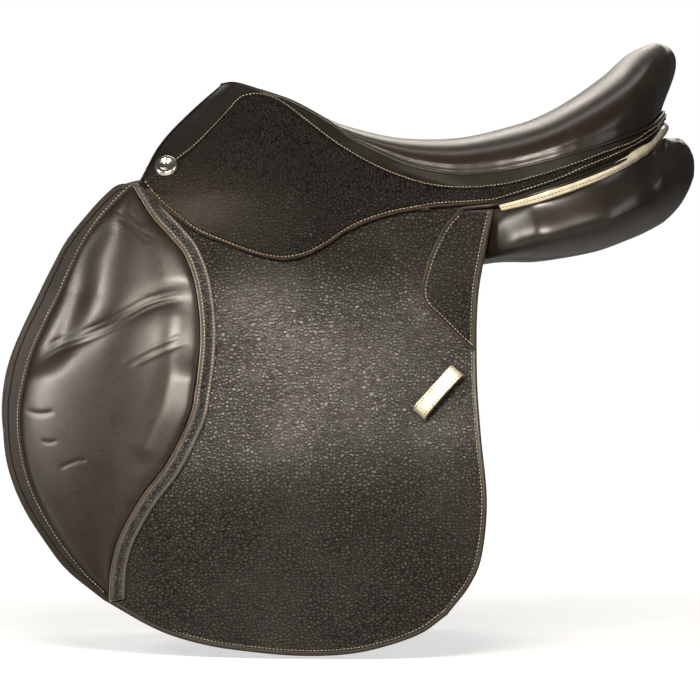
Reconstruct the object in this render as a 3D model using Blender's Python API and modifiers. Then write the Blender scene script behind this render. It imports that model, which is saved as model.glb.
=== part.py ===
"""An English close-contact jumping saddle, modelled piece by piece.

Run it with blender --background --python part.py, or from Blender's text editor.

The frame is metres, +Z up. The horse faces -X, so +X runs from the pommel to the cantle, and
the horse's near (left) side is -Y. The origin is under the middle of the saddle, level with the
lowest edge of the flaps. Sizes below are written in millimetres and turned to metres by mm().

From the horse outwards the layers on each side are panel, sweat flap, girth straps, flap and
skirt. The flap's outer face is one smooth surface, flap_face(), and every other layer on that
side is placed by its depth from it. Flap and skirt fold on one straight line, the hinge line.
"""

import math

import bmesh
import bpy
import numpy as np
from mathutils import Matrix, Vector


def mm(value):
    """Millimetres as metres, for one number or a whole list of points."""
    return np.array(value, float) / 1000.0


# Hinge line of flap and skirt, right side, and how the flap falls away from it
HINGE_FRONT = mm((-179.6, 88.5, 401.9))
HINGE_REAR = mm((124.2, 133.5, 380.7))
HINGE_TO_FLAP = mm(4.5)
FOLD_SPACE = mm(4.5)
FLAP_SPLAY = 0.27
FLAP_SPLAY_EASE = 0.08
FLAP_WRAP = 0.18
FLAP_WRAP_CENTRE = mm(-30)
FLAP_WRAP_DEPTH = mm(100)

# Thicknesses of leather, and the gap that touching pieces keep
SEAT_LEATHER = mm(2.2)
SKIRT_LEATHER = mm(2.8)
FLAP_LEATHER = mm(2.5)
FACING_LEATHER = mm(2.0)
PATCH_LEATHER = mm(1.2)
SWEAT_LEATHER = mm(3.0)
GAP = mm(0.3)

# Depths behind the flap's outer face
FLAP_DEPTH = mm(2.3)
KNEE_BLOCK_DEPTH = mm(8.0)
FRONT_STRAP_DEPTH = mm(13.5)
REAR_STRAP_DEPTH = mm(8.0)
SWEAT_DEPTH = mm(25.0)

# Seat: where its edge is sewn to the skirt, and its crest, from the pommel to the cantle
SEAT_EDGE = mm([
    (-110, 0, 487.0), (-98, 16, 486.8), (-75, 32, 479.0), (-48, 45, 469.0),
    (-17, 60, 451.0), (0, 72, 438.0), (29, 88, 422.5), (56, 104, 411.0),
    (93, 122, 404.0), (130, 134, 406.5), (165, 139, 414.0), (200, 135, 424.0),
    (232, 118, 435.5), (255, 85, 446.0), (268, 40, 458.0), (272, 0, 463.0),
])
SEAT_CREST = mm([
    (-98, 0, 488.4), (-98, 0, 488.4), (-75, 0, 483.5), (-50, 0, 472.5),
    (-18, 0, 456.4), (0, 0, 450.1), (29, 0, 443.3), (56, 0, 439.8),
    (93, 0, 440.7), (128, 0, 447.5), (160, 0, 458.0), (192, 0, 475.0),
    (220, 0, 495.0), (242, 0, 514.0), (263, 0, 524.0), (263, 0, 524.0),
])
SEAT_COLUMNS = 9
SEAT_FULLNESS = 2.5
CANTLE_ROLL = mm(15)
COVER_TO_FOAM = mm(4.0)
SEAT_LINE_ROOM = mm(1.5)
SEAT_LINE_FRONT = mm((-112.5, 1.0, 487.6))
SEAT_LINE_REAR_Y = mm(0.8)
FOAM_PLACES = mm((-98, -18, 40))
FOAM_DEPTHS = mm((13, 15, 25))
FOAM_EDGE_DROP = mm(12)
FOAM_EDGE_INSET = mm(14)

# Tree: rails' outer edge from head to cantle, central opening and plate
TREE_EDGE = mm([
    (-118, 72, 392), (-112, 76, 386), (-95, 80, 380), (-72, 82, 377),
    (-45, 84, 376), (-20, 86, 376), (12, 88, 377), (45, 93, 378),
    (86, 107.5, 380), (122, 121, 384), (158, 127.5, 390), (194, 124.5, 399),
    (225, 109, 411), (245, 80, 422), (257, 39, 433), (261, 0, 438),
])
TREE_HEAD_CORNER = mm((-96, 16, 464))
TREE_PLATE = mm(8)
TREE_RAIL_RISE = mm(2)
SPRING_STEEL = mm(1.5)
WEB_SPACE = mm(4.8)
SEAT_WEB_DEPTHS = mm((3.2, 4.0))
GIRTH_WEB_DEPTH = mm(1.8)
TREE_OPENING = mm([(-52, 0), (-40, 20), (0, 27), (60, 42), (115, 54), (155, 46), (172, 0)])

# Head arch: path of its middle from crown to point, width fore and aft, thickness
ARCH_PATH = mm([
    (-86, 0, 448), (-90, 20, 445), (-101, 37, 435), (-117, 52, 418),
    (-134, 64, 394), (-143.5, 73, 366), (-147, 79, 343),
])
ARCH_WIDTH = mm(34)
ARCH_THICKNESS = mm(10)
PLATE_STEEL = mm(2)
PLATE_WIDTH = mm(22)
PLATE_ROOM = mm(7)
PLATE_ROOM_WIDTH = PLATE_WIDTH + mm(0.8)
PLATE_ROOM_OVERRUN = mm(3)
WELD_REACH = mm(0.1)

# Skirt: rails down its fixed upper part, and the free lower edge as height over length
SKIRT_UPPER_BAND = mm([
    (-140, 38, 461), (-124, 44, 460), (-98, 52, 457), (-66, 60, 449), (-33, 71, 437),
    (-10, 81, 427), (18, 93, 415.5), (47, 106.5, 406), (86, 123.5, 398.5),
])
SKIRT_LOWER_BAND = mm([
    (-163, 66, 434), (-146, 71, 432), (-118, 75, 430), (-85, 79, 427), (-50, 85, 421),
    (-22, 91, 414), (5, 98, 407), (36, 108, 401), (78, 122, 394),
])
SKIRT_HINGE_X = mm([-179.6, -160, -135, -105, -70, -40, -10, 25, 70])
CANTLE_STRIP_EDGE = mm([
    (122, 134.5, 384.5), (160, 142.5, 394), (196, 140.5, 408.5), (229, 124, 423.5),
    (253.5, 91, 437.5), (268, 44, 451.5), (273, 0.8, 456),
])
SKIRT_EDGE = mm([
    (-178.5, 400.0), (-162, 381), (-145, 367), (-105, 346.5), (-64, 333.5), (-53, 333),
    (-36, 337), (-4, 356.5), (18, 366.3), (61, 376.0), (118, 380.0),
])

# Flap, facing, knee pad, patch and sweat flap outlines, seen from the side as (x, z)
FLAP_TOP = mm([(-197, 398), (-150, 395), (-20, 386), (122.5, 376.6)])
FLAP_FRONT = mm([
    (-197, 398), (-219, 375), (-239, 350), (-264, 299), (-286, 248), (-293.5, 205),
    (-292, 170), (-274, 121), (-238, 71.5), (-207, 47),
])
FLAP_BOTTOM = mm([(-207, 47), (-161, 22.6), (-120, 10.5), (-41, 2), (25, 9), (58, 21), (80, 37)])
FLAP_REAR = mm([
    (122.5, 376.6), (115.5, 344.7), (108, 298), (106.4, 235), (109.3, 185), (113.9, 131.5),
    (109.5, 86), (99.4, 61.6), (80, 37),
])
FACING_EDGE = mm([
    (-184.8, 395.5), (-168, 370), (-140, 337.3), (-127, 291.5), (-126.6, 248), (-133.3, 202),
    (-155.6, 157), (-188, 109), (-200, 72), (-201, 44.5),
])
FACING_BOTTOM = mm([(-201, 44.5), (-161, 23), (-120, 11), (-41, 2.5), (25, 9.5), (58, 21.5), (79.5, 37.5)])
KNEE_PAD_FRONT = mm([
    (-187.5, 393), (-214, 367), (-237, 326), (-260, 277.5), (-277, 226), (-280, 205),
    (-279, 180), (-265, 134), (-239, 91), (-205.5, 55),
])
KNEE_PAD_REAR = mm([
    (-186.5, 393), (-170, 370.5), (-142, 337.5), (-129, 291.5), (-128.6, 248), (-135.3, 202),
    (-157.6, 157), (-190, 109), (-202, 72), (-203.5, 55),
])
KNEE_PAD_HEIGHT = mm(11)
PATCH_EDGE = mm([(93, 376), (80.3, 362), (69.2, 340.6), (60, 307), (63, 294), (76, 281), (101, 257)])
PATCH_REAR = mm([(121, 374.5), (113.5, 344), (107.5, 310), (105.8, 285), (104.8, 258)])
SWEAT_TOP = mm([(-178, 404), (-172, 366), (-160, 331), (-100, 323), (-30, 320), (40, 319), (96, 318)])
SWEAT_FRONT = mm([
    (-178, 404), (-200, 397), (-221, 377), (-244.5, 350), (-271, 299), (-293, 247),
    (-298.5, 205), (-292, 168), (-272, 130), (-238, 90), (-205, 67),
])
SWEAT_BOTTOM = mm([(-205, 67), (-150, 46), (-50, 34), (20, 40), (68, 63)])
SWEAT_REAR = mm([(96, 318), (92, 280), (88, 200), (84, 120), (68, 63)])
KNEE_BLOCK_FRONT = mm([(-218, 348), (-243, 310), (-263, 262), (-272, 210), (-268, 165), (-248, 125)])
KNEE_BLOCK_REAR = mm([(-204, 344), (-208, 310), (-219, 262), (-228, 210), (-232, 165), (-236, 125)])

# Stirrup bar, its catch and its place on the tree
BAR_CENTRE = mm((-68, 91.4, 370))
BAR_TURN = math.atan2(45.0, 303.8)
BAR_LENGTH = mm(78)
BAR_HEIGHT = mm(20)
BAR_STEEL = mm(4.5)
BAR_SLOT = mm(10)
BAR_RIVETS = mm((-22, 24))
RIVET_HEAD = mm(3.8)
RIVET_SHANK = mm(1.9)
CATCH_LENGTH = mm(22)
CATCH_STEEL = mm(3.2)
CATCH_HEIGHT = mm(9)
CATCH_EYE = mm(1.6)
CATCH_EYE_FROM_END = mm(5)
CATCH_PIN = mm(1.3)
BAR_ARM_SHORTER = mm(16)
BAR_PAD_LOW = mm(11.5)
BAR_PAD_HIGH = mm(14)
BAR_PAD_DEPTH = mm(10)
NOTCH_X = mm((-113, -16))
NOTCH_BOTTOM = mm(354)

# Girth straps
STRAP_WIDTH = mm(32)
STRAP_LEATHER = mm(4)
STRAP_LENGTH = mm(285)
STRAP_HOLES = 8
STRAP_HOLE_PITCH = mm(25)
STRAP_HOLE_RADIUS = mm(2.5)
GIRTH_STRAPS = (("front", mm(6), FRONT_STRAP_DEPTH), ("rear", mm(70), REAR_STRAP_DEPTH))
STRAP_TOP_DROP = mm(26)
STRAP_HEAD = mm(12)
STRAP_CORNER = mm(4)
STRAP_TAPER = mm(22)
STRAP_TIP = mm(4)
STRAP_TIP_SHARE = 0.55
STRAP_FIRST_HOLE = mm(36)
GIRTH_WEB_HALF = mm(15)
GIRTH_WEB_CANVAS = mm(0.8)
GIRTH_WEB_BEHIND = mm(2.0)
GIRTH_WEB_STEPS = mm((-16, 4, 24))

# Panel cushion: x, middle y, middle z, half width, half height, tilt in degrees
PANEL_SECTIONS = [
    (-184, 43, 372, 24, 7, 68), (-170, 44, 367, 38, 11, 68), (-130, 48, 363, 43, 12, 62),
    (-70, 57, 360, 44, 13, 52), (0, 62, 359, 41, 15, 42), (55, 64, 355, 39, 18, 30),
    (90, 66, 354, 38, 22, 24), (120, 73, 357, 45, 25, 19), (170, 80, 364, 50, 29, 13),
    (215, 77, 374, 49, 31, 8), (248, 68, 384.5, 44, 27.5, 5), (260, 64, 393, 40, 29, 4),
    (270, 61, 401, 37, 33, 3),
    (284, 57, 411, 29, 31, 0), (294, 54, 415, 19, 22, 0), (298.5, 53, 415, 8, 9, 0),
]
PANEL_RING = 16
PANEL_SQUARENESS = 2.4

# Cantle trim, upper and lower edge from the flap's rear corner to the back of the cantle
TRIM_TOP = mm([
    (124.1, 134, 379.4), (156.6, 143, 390.1), (192, 142, 404.3), (216, 135, 415.2),
    (241.5, 116, 429.3), (260, 82, 442), (271, 38, 452.5), (275, 0, 455.5),
])
TRIM_BOTTOM = mm([
    (127.4, 134, 372.7), (156.6, 143, 379.4), (186, 143.5, 390.3), (212, 136, 402),
    (240, 117, 415.5), (260, 85, 428), (273, 42, 441.5), (279, 0, 448.7),
])
TRIM_LEATHER = mm(2.4)

STUD_PLACE = mm((-157.5, 413.7))
STUD_STAND = mm(1.7)
STUD_HOLE = mm(2.4)
STUD_PROFILE = mm([
    (0, -0.6), (2.6, -0.8), (4.4, 0.0), (6.4, 1.0), (8.0, 1.2), (9.4, 0.6), (10.1, -0.6),
    (9.8, -1.4), (2.0, -1.4), (2.0, -7.0), (0, -7.0),
])
KEEPER_CENTRE = mm((74.5, 220.4))
KEEPER_SLANT = math.radians(48)
KEEPER_LENGTH = mm(48)
KEEPER_WIDTH = mm(15)
KEEPER_LEATHER = mm(2.4)
KEEPER_RISE = mm(10.5)
KEEPER_BEND = mm(5)
KEEPER_INNER_BEND = mm(2.6)
KEEPER_STAND = mm(1.2)


def remove_everything():
    """Empties the scene that Blender starts with."""
    for obj in list(bpy.data.objects):
        bpy.data.objects.remove(obj)
    for collection in list(bpy.data.collections):
        bpy.data.collections.remove(collection)


def new_collection(name):
    collection = bpy.data.collections.new(name)
    bpy.context.scene.collection.children.link(collection)
    return collection


def new_material(name, colour, roughness, metallic=0.0):
    """A Principled material in one plain colour."""
    material = bpy.data.materials.new(name)
    material.use_nodes = True
    shader = material.node_tree.nodes["Principled BSDF"]
    shader.inputs["Base Color"].default_value = (*colour, 1.0)
    shader.inputs["Roughness"].default_value = roughness
    shader.inputs["Metallic"].default_value = metallic
    material.diffuse_color = (*colour, 1.0)
    return material


# Curves and surfaces as arrays of points

def rail(points, count):
    """Points along a smooth curve through the given ones, evenly between them by number."""
    points = np.asarray(points, float)
    places = np.linspace(0, len(points) - 1, count)
    first = np.minimum(places.astype(int), len(points) - 2)
    t = (places - first)[:, None]
    tangents = np.gradient(points, axis=0)
    a, b = points[first], points[first + 1]
    ta, tb = tangents[first], tangents[first + 1]
    return (a * (2 * t**3 - 3 * t**2 + 1) + ta * (t**3 - 2 * t**2 + t)
            + b * (3 * t**2 - 2 * t**3) + tb * (t**3 - t**2))


def even_rail(points, count):
    """Points at equal distances along the smooth curve through the given ones."""
    fine = rail(points, 40 * len(points))
    steps = np.linalg.norm(np.diff(fine, axis=0), axis=1)
    along = np.concatenate([[0], np.cumsum(steps)])
    wanted = np.linspace(0, along[-1], count)
    return np.stack([np.interp(wanted, along, fine[:, k]) for k in range(fine.shape[1])], axis=1)


def coons_patch(top, bottom, front, rear, columns, rows):
    """A grid [row, column] of (x, z) points that fills four edges, each from front to rear or top down."""
    u = np.linspace(0, 1, columns)[None, :, None]
    v = np.linspace(0, 1, rows)[:, None, None]
    top, bottom = even_rail(top, columns)[None], even_rail(bottom, columns)[None]
    front, rear = even_rail(front, rows)[:, None], even_rail(rear, rows)[:, None]
    corners = ((1 - u) * (1 - v) * top[:, :1] + u * (1 - v) * top[:, -1:]
               + (1 - u) * v * bottom[:, :1] + u * v * bottom[:, -1:])
    return (1 - v) * top + v * bottom + (1 - u) * front + u * rear - corners


def between(front, rear, columns, rows):
    """A grid of (x, z) points between a front and a rear edge, both from the top down."""
    u = np.linspace(0, 1, columns)[None, :, None]
    return (1 - u) * even_rail(front, rows)[:, None] + u * even_rail(rear, rows)[:, None]


def hinge_y(x):
    share = (x - HINGE_FRONT[0]) / (HINGE_REAR[0] - HINGE_FRONT[0])
    return HINGE_FRONT[1] + share * (HINGE_REAR[1] - HINGE_FRONT[1])


def hinge_z(x):
    share = (x - HINGE_FRONT[0]) / (HINGE_REAR[0] - HINGE_FRONT[0])
    return HINGE_FRONT[2] + share * (HINGE_REAR[2] - HINGE_FRONT[2])


def flap_face(x, z):
    """Distance from the saddle's middle plane to the flap's outer face, at a place seen from the side."""
    drop = hinge_z(x) - z
    wrap = FLAP_WRAP * (x - FLAP_WRAP_CENTRE) ** 2 * np.clip(drop / FLAP_WRAP_DEPTH, 0, 1)
    return hinge_y(x) - HINGE_TO_FLAP + FLAP_SPLAY * drop - FLAP_SPLAY_EASE * drop**2 - wrap


def on_flap(side_points, depth=0.0):
    """3D points on the right side, at a depth behind the flap's outer face."""
    x, z = side_points[..., 0], side_points[..., 1]
    return np.stack([x, flap_face(x, z) - depth, z], axis=-1)


def plan_normals(edge):
    """Unit vectors that point outwards, seen from above, along an edge from pommel to cantle."""
    run = np.gradient(edge[:, :2], axis=0)
    normal = np.stack([-run[:, 1], run[:, 0], np.zeros(len(edge))], axis=1)
    normal[0], normal[-1] = (-1, 0, 0), (1, 0, 0)
    return normal / np.linalg.norm(normal, axis=1)[:, None]


def domed(crest, edge, columns, fullness, roll=0.0):
    """A grid [station, column] that falls from a crest to an edge in a superelliptic curve."""
    angle = np.linspace(0, math.pi / 2, columns)[None, :, None]
    across = np.sin(angle) ** (2 / fullness)
    down = 1 - np.clip(np.cos(angle), 0, 1) ** (2 / fullness)
    share = np.concatenate([np.repeat(across, 2, axis=2), down], axis=2)
    grid = crest[:, None] + (edge - crest)[:, None] * share
    station = np.linspace(0, 1, len(edge))[:, None, None]
    swell = roll * np.clip((station - 0.6) / 0.4, 0, 1) ** 2 * np.sin(2 * angle)
    return grid + plan_normals(edge)[:, None] * swell


def seat_surface(sink=0.0):
    """The seat's surface on the right side, or one that lies deeper by sink."""
    edge = SEAT_EDGE - plan_normals(SEAT_EDGE) * sink - np.array((0, 0, 0.8 * sink))
    edge[0, 1] = edge[-1, 1] = 0.0
    crest = SEAT_CREST - np.array((0, 0, sink))
    return domed(crest, edge, SEAT_COLUMNS, SEAT_FULLNESS, CANTLE_ROLL)


def foam_base(sink=0.0):
    """The underside of the seat foam on the right side, or a face that lies deeper by sink."""
    inset = FOAM_EDGE_INSET + 0.6 * sink
    edge = SEAT_EDGE - plan_normals(SEAT_EDGE) * inset - np.array((0, 0, FOAM_EDGE_DROP + sink))
    edge[0, 1] = edge[-1, 1] = 0.0
    crest = SEAT_CREST - np.array((0, 0, sink))
    crest[:, 2] -= np.interp(SEAT_CREST[:, 0], FOAM_PLACES, FOAM_DEPTHS)
    towards_middle = np.clip((SEAT_CREST[:, 0] - mm(60)) / mm(200), -1, 1) ** 3
    crest[:, 0] -= 1.2 * sink * towards_middle
    return domed(crest, edge, SEAT_COLUMNS, SEAT_FULLNESS)


def both_halves(right):
    """A right-hand grid [station, column] from the middle outwards, with its mirror image joined on."""
    left = right[:, :0:-1] * np.array((1, -1, 1))
    return np.concatenate([left, right], axis=1)


# Grids as meshes and objects

def add_object(name, mesh, material, collection):
    mesh.materials.append(material)
    obj = bpy.data.objects.new(name, mesh)
    collection.objects.link(obj)
    return obj


def finish_mesh(name, bm, sharp_degrees=40):
    """Welds a bmesh, points its faces outwards and shades it smooth."""
    bmesh.ops.remove_doubles(bm, verts=bm.verts, dist=0.00002)
    bmesh.ops.dissolve_degenerate(bm, edges=bm.edges, dist=0.00002)
    bmesh.ops.recalc_face_normals(bm, faces=bm.faces)
    mesh = bpy.data.meshes.new(name)
    bm.to_mesh(mesh)
    bm.free()
    mesh.shade_smooth()
    mesh.set_sharp_from_angle(angle=math.radians(sharp_degrees))
    return mesh


def add_grid(bm, grid):
    """Adds a grid of points as triangles. The diagonals mirror, so that layers on one grid never cross."""
    rows, columns = grid.shape[:2]
    points = [[bm.verts.new(grid[r, c]) for c in range(columns)] for r in range(rows)]
    for r in range(rows - 1):
        for c in range(columns - 1):
            a, b, d, e = points[r][c], points[r][c + 1], points[r + 1][c + 1], points[r + 1][c]
            if abs(b.co.y) < abs(a.co.y):
                a, b, d, e = b, d, e, a
            bm.faces.new((a, b, d))
            bm.faces.new((a, d, e))
    return points


def sheet(name, grid, thickness, material, collection, outwards):
    """A leather sheet: the grid is its outer face, and Solidify gives it thickness inwards."""
    bm = bmesh.new()
    add_grid(bm, grid)
    bmesh.ops.remove_doubles(bm, verts=bm.verts, dist=0.00002)
    bmesh.ops.dissolve_degenerate(bm, edges=bm.edges, dist=0.00002)
    bm.normal_update()
    lean = sum((face.normal * face.calc_area() for face in bm.faces), Vector()).dot(Vector(outwards))
    if lean < 0:
        bmesh.ops.reverse_faces(bm, faces=bm.faces)
    mesh = bpy.data.meshes.new(name)
    bm.to_mesh(mesh)
    bm.free()
    mesh.shade_smooth()
    obj = add_object(name, mesh, material, collection)
    solidify = obj.modifiers.new("thickness", "SOLIDIFY")
    solidify.thickness = float(thickness)
    solidify.offset = -1
    solidify.use_even_offset = True
    return obj


def solid_between(name, upper, lower, material, collection):
    """A closed body between two grids of the same shape, joined round their rims."""
    bm = bmesh.new()
    rows, columns = upper.shape[:2]
    layers = [add_grid(bm, upper), add_grid(bm, lower)]
    rim = [(0, c) for c in range(columns)]
    rim += [(r, columns - 1) for r in range(1, rows)]
    rim += [(rows - 1, c) for c in range(columns - 2, -1, -1)]
    rim += [(r, 0) for r in range(rows - 2, 0, -1)]
    for here, following in zip(rim, rim[1:] + rim[:1]):
        corners = (layers[0][here[0]][here[1]], layers[0][following[0]][following[1]],
                   layers[1][following[0]][following[1]], layers[1][here[0]][here[1]])
        bm.faces.new(corners)
    open_the_fold(bm)
    return add_object(name, finish_mesh(name, bm), material, collection)


def open_the_fold(bm):
    """Where a rim lies on the middle plane its two halves meet, so the rim's faces there go."""
    bmesh.ops.remove_doubles(bm, verts=bm.verts, dist=0.00002)
    folded = [face for face in bm.faces if max(abs(v.co.y) for v in face.verts) < 0.00001]
    bmesh.ops.delete(bm, geom=folded, context="FACES")
    bmesh.ops.delete(bm, geom=[v for v in bm.verts if not v.link_faces], context="VERTS")


def loft(name, rings, material, collection):
    """A closed body through rings of points, with a flat cap at each end."""
    bm = bmesh.new()
    layers = [[bm.verts.new(point) for point in ring] for ring in rings]
    for first, second in zip(layers, layers[1:]):
        for k in range(len(first)):
            following = (k + 1) % len(first)
            bm.faces.new((first[k], first[following], second[following], second[k]))
    bm.faces.new(layers[0])
    bm.faces.new(layers[-1])
    return add_object(name, finish_mesh(name, bm), material, collection)


def flat_outline(name, outlines, thickness, material, collection):
    """A flat plate in its own XY plane, from a 2D curve. The first outline is its edge, the rest are holes."""
    curve = bpy.data.curves.new(name, "CURVE")
    curve.dimensions = "2D"
    curve.fill_mode = "BOTH"
    curve.extrude = float(thickness) / 2
    for outline in outlines:
        spline = curve.splines.new("POLY")
        spline.points.add(len(outline) - 1)
        for point, (x, y) in zip(spline.points, outline):
            point.co = (x, y, 0, 1)
        spline.use_cyclic_u = True
    return add_object(name, curve, material, collection)


def arc(centre, radius, start, end, steps):
    """Points on an arc, angles in degrees."""
    angles = np.radians(np.linspace(start, end, steps))
    return [(centre[0] + radius * math.cos(a), centre[1] + radius * math.sin(a)) for a in angles]


def rounded_bar_outline(length, width, radius, steps=4):
    """A rectangle with round corners, centred on the origin."""
    dx, dy = length / 2 - radius, width / 2 - radius
    points = []
    for (cx, cy), start in (((dx, dy), 0), ((-dx, dy), 90), ((-dx, -dy), 180), ((dx, -dy), 270)):
        points += arc((cx, cy), radius, start, start + 90, steps)
    return points


def frame_matrix(place, x_axis, y_axis):
    """The matrix that puts an object at a place with these directions for its own X and Y."""
    x_axis = Vector(x_axis).normalized()
    z_axis = x_axis.cross(Vector(y_axis)).normalized()
    y_axis = z_axis.cross(x_axis)
    turn = Matrix((x_axis, y_axis, z_axis)).transposed().to_4x4()
    return Matrix.Translation(Vector(place)) @ turn


def cutter_box(name, low, high, collection):
    """A box that cuts: it isn't part of the saddle."""
    bm = bmesh.new()
    bmesh.ops.create_cube(bm, size=1.0)
    centre, size = (Vector(low) + Vector(high)) / 2, Vector(high) - Vector(low)
    bmesh.ops.scale(bm, vec=size, verts=bm.verts)
    bmesh.ops.translate(bm, vec=centre, verts=bm.verts)
    mesh = bpy.data.meshes.new(name)
    bm.to_mesh(mesh)
    bm.free()
    obj = bpy.data.objects.new(name, mesh)
    collection.objects.link(obj)
    obj.hide_render = True
    obj.display_type = "WIRE"
    return obj


def bar_frame(sign):
    """The stirrup bar's own frame: its X runs back along the rail, and its middle is the origin."""
    place = Matrix.Translation(Vector(BAR_CENTRE * np.array((1, sign, 1))))
    return place @ Matrix.Rotation(sign * BAR_TURN, 4, "Z")


def rivet_hole(name, sign, x, collection):
    """A cutter for the hole of one rivet, through the bar's plate and into the tree."""
    bm = bmesh.new()
    depth = mm(12)
    bmesh.ops.create_cone(bm, cap_ends=True, segments=16, radius1=RIVET_SHANK + GAP,
                          radius2=RIVET_SHANK + GAP, depth=depth)
    obj = bpy.data.objects.new(name, finish_mesh(name, bm))
    collection.objects.link(obj)
    obj.hide_render = True
    obj.display_type = "WIRE"
    obj.matrix_world = bar_frame(sign) @ Matrix.Translation((x, -sign * mm(4), 0)) @ Matrix.Rotation(
        math.pi / 2, 4, "X")
    return obj


def cut_prism(name, outline, height, collection):
    """A prism round a (x, y) outline that cuts through a plate from above."""
    bm = bmesh.new()
    lower = [bm.verts.new((x, y, height[0])) for x, y in outline]
    face = bm.faces.new(lower)
    grown = bmesh.ops.extrude_face_region(bm, geom=[face])
    raised = [v for v in grown["geom"] if isinstance(v, bmesh.types.BMVert)]
    bmesh.ops.translate(bm, vec=(0, 0, height[1] - height[0]), verts=raised)
    obj = bpy.data.objects.new(name, finish_mesh(name, bm))
    collection.objects.link(obj)
    obj.hide_render = True
    obj.display_type = "WIRE"
    return obj


def boolean(obj, other, operation):
    modifier = obj.modifiers.new(operation.lower(), "BOOLEAN")
    modifier.operation = operation
    modifier.solver = "EXACT"
    modifier.object = other


def rivet(name, place, axis, material, collection):
    """A rivet's domed head and its shank as one turned piece."""
    head, shank = RIVET_HEAD, RIVET_SHANK
    profile = [(0, 0), (0.5 * head, -mm(0.2)), (0.9 * head, -mm(0.9)), (head, -mm(1.5)),
               (head, -mm(1.7)), (shank, -mm(1.7)), (shank, -mm(9)), (0, -mm(9))]
    return turned(name, profile, place, axis, 10, material, collection)


def turned(name, profile, place, axis, steps, material, collection):
    """A body of revolution from a profile of (radius, height), its height along an axis."""
    bm = bmesh.new()
    verts = [bm.verts.new((radius, 0, height)) for radius, height in profile]
    for a, b in zip(verts, verts[1:]):
        bm.edges.new((a, b))
    mesh = bpy.data.meshes.new(name)
    bm.to_mesh(mesh)
    bm.free()
    obj = add_object(name, mesh, material, collection)
    screw = obj.modifiers.new("turned", "SCREW")
    screw.steps = screw.render_steps = steps
    screw.use_merge_vertices = True
    screw.merge_threshold = 0.00002
    screw.use_smooth_shade = True
    axis = Vector(axis)
    x_axis = Vector((0, 0, 1)).cross(axis)
    obj.matrix_world = frame_matrix(place, x_axis, axis.cross(x_axis))
    return obj


# The tree and what is fixed to it

def tree_plate_grid():
    """The tree's upper face on the right, short of both ends: under the foam, then down the rail."""
    upper = foam_base(WEB_SPACE)
    upper[1] = rail([upper[1, 0], TREE_HEAD_CORNER], SEAT_COLUMNS)
    slope = 0.5 * (upper[:, -1] + TREE_EDGE) + np.array((0, 0, TREE_RAIL_RISE))
    return np.concatenate([upper, slope[:, None], TREE_EDGE[:, None]], axis=1)[1:-1]


def build_tree(steel, wood, parts, cutters):
    upper = both_halves(tree_plate_grid())
    tree = solid_between("tree", upper, upper - np.array((0, 0, TREE_PLATE)), wood, parts)
    half = rail(TREE_OPENING, 13)
    outline = [tuple(p) for p in half] + [(x, -y) for x, y in half[-2:0:-1]]
    opening = cut_prism("tree_opening", outline, mm((300, 600)), cutters)
    boolean(tree, opening, "DIFFERENCE")
    arch = swept_arch("head_arch", 0.0, ARCH_WIDTH, ARCH_THICKNESS, wood, cutters)
    arch.hide_render = True
    boolean(tree, arch, "UNION")
    for side, sign in (("left", -1), ("right", 1)):
        low, high = sorted((sign * (-BAR_STEEL - GAP), sign * (-BAR_STEEL - BAR_PAD_DEPTH)))
        pad = cutter_box(f"bar_pad_{side}", (-BAR_LENGTH / 2, low, -BAR_PAD_LOW),
                         (BAR_LENGTH / 2, high, BAR_PAD_HIGH), cutters)
        pad.matrix_world = bar_frame(sign)
        boolean(tree, pad, "UNION")
        for x in BAR_RIVETS:
            boolean(tree, rivet_hole(f"tree_hole_{side}", sign, x, cutters), "DIFFERENCE")
    plate = ARCH_THICKNESS / 2 + GAP + PLATE_STEEL / 2
    room = (ARCH_THICKNESS + PLATE_ROOM) / 2 - GAP
    for name, outwards in (("head_plate", 1), ("gullet_plate", -1)):
        swept_arch(name, outwards * plate, PLATE_WIDTH, PLATE_STEEL, steel, parts)
        cutter = swept_arch(f"{name}_room", outwards * room, PLATE_ROOM_WIDTH, PLATE_ROOM, wood, cutters,
                            PLATE_ROOM_OVERRUN)
        cutter.hide_render = True
        boolean(tree, cutter, "DIFFERENCE")
    weld = tree.modifiers.new("weld", "WELD")
    weld.merge_threshold = float(WELD_REACH)


def swept_arch(name, offset, width, thickness, material, collection, overrun=0.0):
    """A band along the head arch, offset outwards from its middle, and longer at both ends by overrun."""
    half = even_rail(ARCH_PATH, 9)
    path = np.concatenate([half[::-1] * np.array((1, -1, 1)), half[1:]])
    tangents = np.gradient(path, axis=0)
    outwards = np.cross(np.array((1.0, 0, 0)), tangents)
    outwards /= np.linalg.norm(outwards, axis=1)[:, None]
    path[0] -= overrun * tangents[0] / np.linalg.norm(tangents[0])
    path[-1] += overrun * tangents[-1] / np.linalg.norm(tangents[-1])
    along = np.array((width / 2, 0, 0))
    rings = []
    for middle, out in zip(path + outwards * offset, outwards):
        rise = out * thickness / 2
        front, rear = middle - along, middle + along
        rings.append((front + rise, rear + rise, rear - rise, front - rise))
    return loft(name, rings, material, collection)


def build_webs_and_springs(steel, canvas, parts):
    """Seat webs from head to cantle, girth webs over them, and spring steel under each rail."""
    web = np.stack([foam_base(depth)[2:14, 2:5] for depth in SEAT_WEB_DEPTHS])
    rail_under = foam_base(WEB_SPACE)[3:13, 5:8] - np.array((0, 0, TREE_PLATE + GAP))
    for side, sign in (("left", -1), ("right", 1)):
        mirror = np.array((1, sign, 1))
        solid_between(f"seat_web_{side}", web[0] * mirror, web[1] * mirror, canvas, parts)
        spring = rail_under - np.array((0, 0, SPRING_STEEL))
        solid_between(f"spring_{side}", rail_under * mirror, spring * mirror, steel, parts)
    for name, x, depth in GIRTH_STRAPS:
        girth_web(name, x, depth + STRAP_LEATHER + GIRTH_WEB_BEHIND, canvas, parts)


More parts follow.
